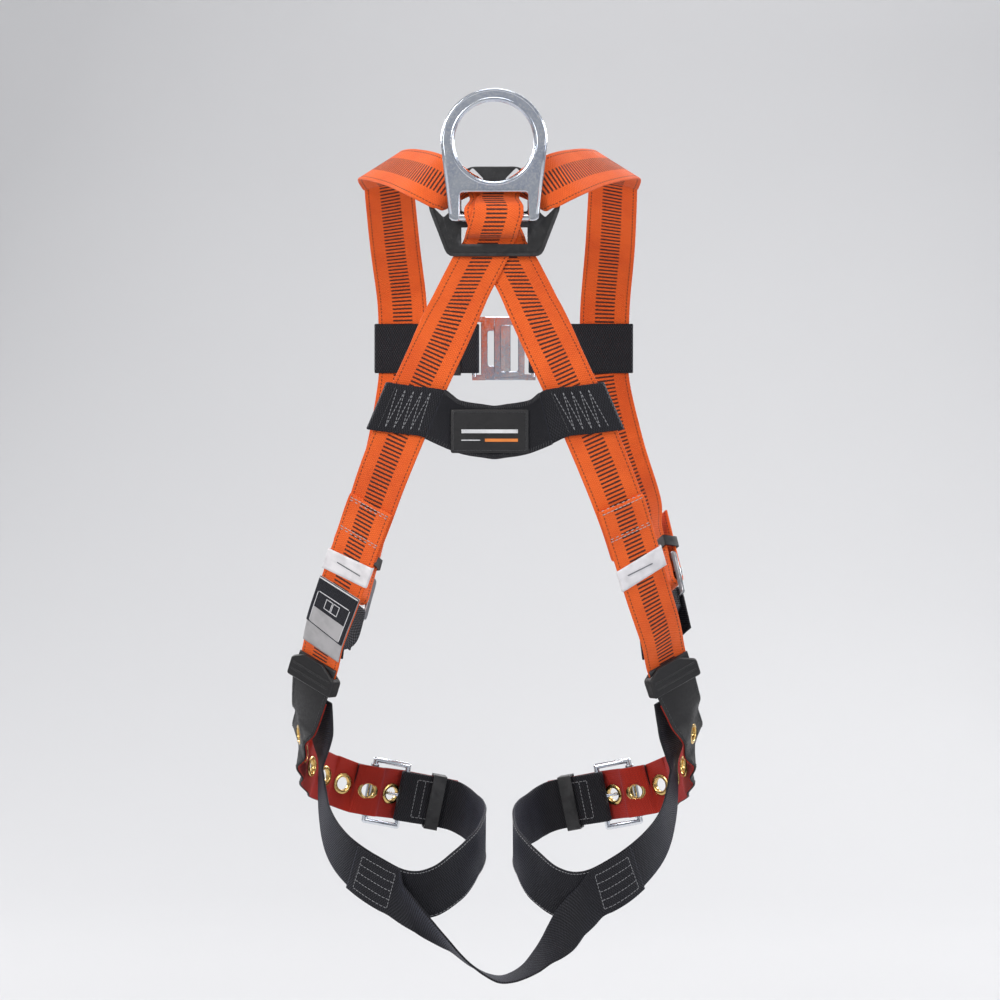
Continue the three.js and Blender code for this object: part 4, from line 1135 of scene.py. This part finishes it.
# A flat printed stripe on a strap or label, at a distance from its middle line.
def stripe(route, name, material, body, slot, span, sideways, width, lift=0.0003, thick=0.0002):
    count = max(2, int((span[1] - span[0]) / 0.003) + 1)
    s = np.linspace(span[0], span[1], count)
    low, _ = onRoute(route, s, np.full(count, sideways - width / 2), np.full(count, lift))
    high, _ = onRoute(route, s, np.full(count, sideways + width / 2), np.full(count, lift))
    lowTop, _ = onRoute(route, s, np.full(count, sideways - width / 2), np.full(count, lift + thick))
    highTop, _ = onRoute(route, s, np.full(count, sideways + width / 2), np.full(count, lift + thick))
    verts = np.concatenate([low, high, highTop, lowTop])
    faces = []
    for r in range(count - 1):
        for k in range(4):
            a, b = k * count + r, ((k + 1) % 4) * count + r
            faces.append((a, b, b + 1, a + 1))
    faces += [tuple(k * count for k in range(4))[::-1], tuple(k * count + count - 1 for k in range(4))]
    return addPiece(name, verts, faces, material, body, slot, smooth=False)


makeBand()
print("back band finished")


# ---------- load indicators ----------
indicatorSet = {"tagLong": 0.0185}


def makeIndicators():
    for side in sides:
        node = f"load_label_{side}"
        strap = routes["shoulder_strap_left" if side == "right" else "shoulder_strap_right"]
        s = nearest(strap, axesOf(node)[0])
        body, slot = keyed(node)
        # a folded tag round the webbing, standing a little proud of it at one edge
        corners = [(-0.0236, -0.0017), (0.0242, -0.0018), (0.0244, 0.0021), (-0.0232, 0.0017)]
        profile = rounded(corners, 0.0012, 5)
        verts, faces = [], []
        rows = np.linspace(-indicatorSet["tagLong"] / 2, indicatorSet["tagLong"] / 2, 9)
        for row in rows:
            for inset in (0.0, 0.0005):
                for x, z in profile:
                    shrink = 1 - inset / 0.0235
                    lift = (abs(z) - inset) * (1 if z > 0 else -1)
                    point, _ = onRoute(strap, s + row + x * 0.09, x * shrink, lift)
                    verts.append(point)
        count = len(profile)
        ring = 2 * count
        for r in range(len(rows) - 1):
            for k in range(count):
                a, b = r * ring + k, r * ring + (k + 1) % count
                faces.append((a, b, b + ring, a + ring))
                faces.append((a + count, a + count + ring, b + count + ring, b + count))
        for base in (0, (len(rows) - 1) * ring):
            for k in range(count):
                quad = (base + k, base + (k + 1) % count, base + count + (k + 1) % count, base + count + k)
                faces.append(quad if base else quad[::-1])
        tag = addPiece(f"{node}.tag", verts, faces, "label", body, slot)
        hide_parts(node)
        # one plain printed line
        stripe(strap, f"{node}.line0", "steel", body, slot, (s - 0.0005, s + 0.0004), -0.002, 0.026, 0.0022)
        # two rows of tear stitching through the fold above the tag
        lines = []
        for gap in (0.0, 0.0265):
            place = outerFold(strap, s, 0.012 + gap)
            for shift, pitch, share in ((0, 0.0042, 0.2), (0.0022, 0.0052, 0.45)):
                row = [(place + shift, -0.0205), (place + shift, 0.0205)]
                lines += stitches(strap, row, surface, pitch, share)
        sew(f"{node}.tear", lines, "whiteThread", *keyed(strapName(strap)))


def strapName(route):
    return next(name for name, made in routes.items() if made is route)


# A place on the outermost layer of the fold, a distance above the tag.
def outerFold(strap, s, above):
    here = atRoute(strap, s, "centre")
    down = atRoute(strap, s + 0.01, "centre") - here
    down = down / np.linalg.norm(down) * (1 if down[2] < 0 else -1)
    target = here - down * (above + 0.0195) + atRoute(strap, s, "normal") * 0.004
    gap = ((strap["centre"] - target) ** 2).sum(1)
    return float(strap["length"][np.argmin(gap)])


makeIndicators()
print("load indicators made")


# ---------- document pouch ----------
pouchSet = {"coverThick": 0.0012}


def makePouch():
    body, slot = keyed("label_cover")
    cover = routeOf("label_cover")
    piece = webbing("label_cover.flap", cover, pouchSet["coverThick"], "sleeve", body, slot)
    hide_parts("label_cover")
    pages = routeOf("label_pages")
    pageBody, pageSlot = keyed("label_pages")
    stack = webbing("label_pages.book", pages, 0.001, "panel", pageBody, pageSlot)
    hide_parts("label_pages")
    reach = cover["length"][-1]
    top = 0.0 if cover["centre"][0][2] > cover["centre"][-1][2] else reach
    way = 1 if top == 0.0 else -1

    def along(value):
        return top + way * value

    def pageSpan(a, b):
        return tuple(sorted((along(a), along(b))))

    raised = pouchSet["coverThick"] / 2 + 0.00005
    # white piping along the top edge
    stripe(cover, "label_cover.piping", "print", body, slot, pageSpan(0.0002, 0.0014), 0, 0.0445, raised)
    # outlined panel: dark head with an open book, pale writing field below
    wide = 0.0185
    for sign, name in ((-1, "a"), (1, "b")):
        span = pageSpan(0.0135, reach - 0.002)
        stripe(cover, f"label_cover.edge.{name}", "print", body, slot, span, sign * wide, 0.0006, raised)
    stripe(cover, "label_cover.edge.c", "print", body, slot, pageSpan(0.0125, 0.0132), 0, 0.0345, raised)
    stripe(cover, "label_cover.field", "panel", body, slot, pageSpan(0.0285, reach - 0.0012), 0, 0.0362, raised)
    for sign in (-1, 1):
        half = "ab"[sign > 0]
        for k, (a, b, x) in enumerate(((0.0165, 0.0255, 0.0006), (0.0155, 0.0245, 0.0075))):
            name = f"label_cover.book.{k}{half}"
            stripe(cover, name, "print", body, slot, pageSpan(a, b), sign * x, 0.0006, raised)
        for k, a in enumerate((0.0155, 0.0245)):
            name = f"label_cover.page.{k}{half}"
            stripe(cover, name, "print", body, slot, pageSpan(a, a + 0.0006), sign * 0.004, 0.0072, raised)


makePouch()
print("pouch made")


# ---------- stitching on the black webbing ----------
def makeSewing():
    seat = routes["seat_strap"]
    body, slot = keyed("seat_strap")
    for side, sign in sides.items():
        point = (sign * 0.106, -0.093, -0.611)
        s = nearest(seat, point)
        # the half turn leaves a different face outward at each end
        outer = surface if atRoute(seat, s, "normal")[1] < 0 else -surface
        lines = boxStitch(seat, s - 0.0175, s + 0.0175, -0.0165, 0.0165, outer, rows=3)
        sew(f"seat_strap.box.{side}", lines, "greyThread", body, slot)
        leg = routes[f"leg_strap_{side}"]
        reach = leg["length"][-1]
        edge = stitches(leg, [(0.02, 0.0205), (reach * 0.62, 0.0205)], surface, 0.0036)
        edge += stitches(leg, [(0.02, -0.0205), (reach * 0.62, -0.0205)], surface, 0.0036)
        legBody, legSlot = keyed(f"leg_strap_{side}")
        sew(f"leg_strap.edge.{side}", edge, "greyThread", legBody, legSlot, 0.0003)
        buckle = np.array(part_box(f"buckle_frame_{side}")).mean(0)
        end = nearest(leg, buckle - np.array((sign * 0.036, 0, 0)))
        box = boxStitch(leg, end - 0.01, end + 0.012, -0.017, 0.017, -surface, rows=2, lengthwise=False)
        sew(f"leg_strap.box.{side}", box, "greyThread", legBody, legSlot)
        lower = routes[f"lower_strap_{side}"]
        lowBody, lowSlot = keyed(f"lower_strap_{side}")
        ends = lower["length"][-1]
        lines = boxStitch(lower, ends - 0.03, ends - 0.006, -0.017, 0.017, surface, rows=2)
        lines += boxStitch(lower, 0.006, 0.028, -0.017, 0.017, surface, rows=2)
        sew(f"lower_strap.box.{side}", lines, "greyThread", lowBody, lowSlot)
        tongue = routes[f"tongue_strap_{side}"]
        tongueBody, tongueSlot = keyed(f"tongue_strap_{side}")
        tongueReach = tongue["length"][-1]
        lines = stitches(tongue, [(0.012, 0.0198), (tongueReach - 0.006, 0.0198)], surface, 0.003)
        lines += stitches(tongue, [(0.012, -0.0198), (tongueReach - 0.006, -0.0198)], surface, 0.003)
        sew(f"tongue_strap.edge.{side}", lines, "blackThread", tongueBody, tongueSlot, 0.0003)
        chest = routes[f"chest_strap_{side}"]
        chestBody, chestSlot = keyed(f"chest_strap_{side}")
        s = nearest(chest, (sign * 0.078, 0.116, -0.15), (0, 1, 0))
        sew(f"chest_strap.zigzag.{side}", zigzag(chest, s - 0.012, s + 0.012, 0.0175, surface, 7), "greyThread",
            chestBody, chestSlot)


makeSewing()
print("sewing made")


# ---------- floor ----------
def makeFloor():
    wide, depth, bend, level = stageSet["width"] / 2, stageSet["depth"], stageSet["bend"], stageSet["floorZ"]
    line = [(-14, level), (depth - bend, level)]
    rise = np.linspace(0.1, math.pi / 2, 12)
    line += [(depth - bend + bend * math.sin(a), level + bend * (1 - math.cos(a))) for a in rise]
    line += [(depth, 4.5)]
    verts = [(x, y, z) for x in (-wide, wide) for y, z in line]
    count = len(line)
    faces = [(k, k + 1, count + k + 1, count + k) for k in range(count - 1)]
    mesh = bpy.data.meshes.new("studioFloor")
    mesh.from_pydata(verts, [], faces)
    mesh.polygons.foreach_set("use_smooth", [True] * len(mesh.polygons))
    mesh.materials.append(mats["floor"])
    floor = bpy.data.objects.new("studioFloor", mesh)
    bpy.context.collection.objects.link(floor)


makeFloor()
print("floor made")
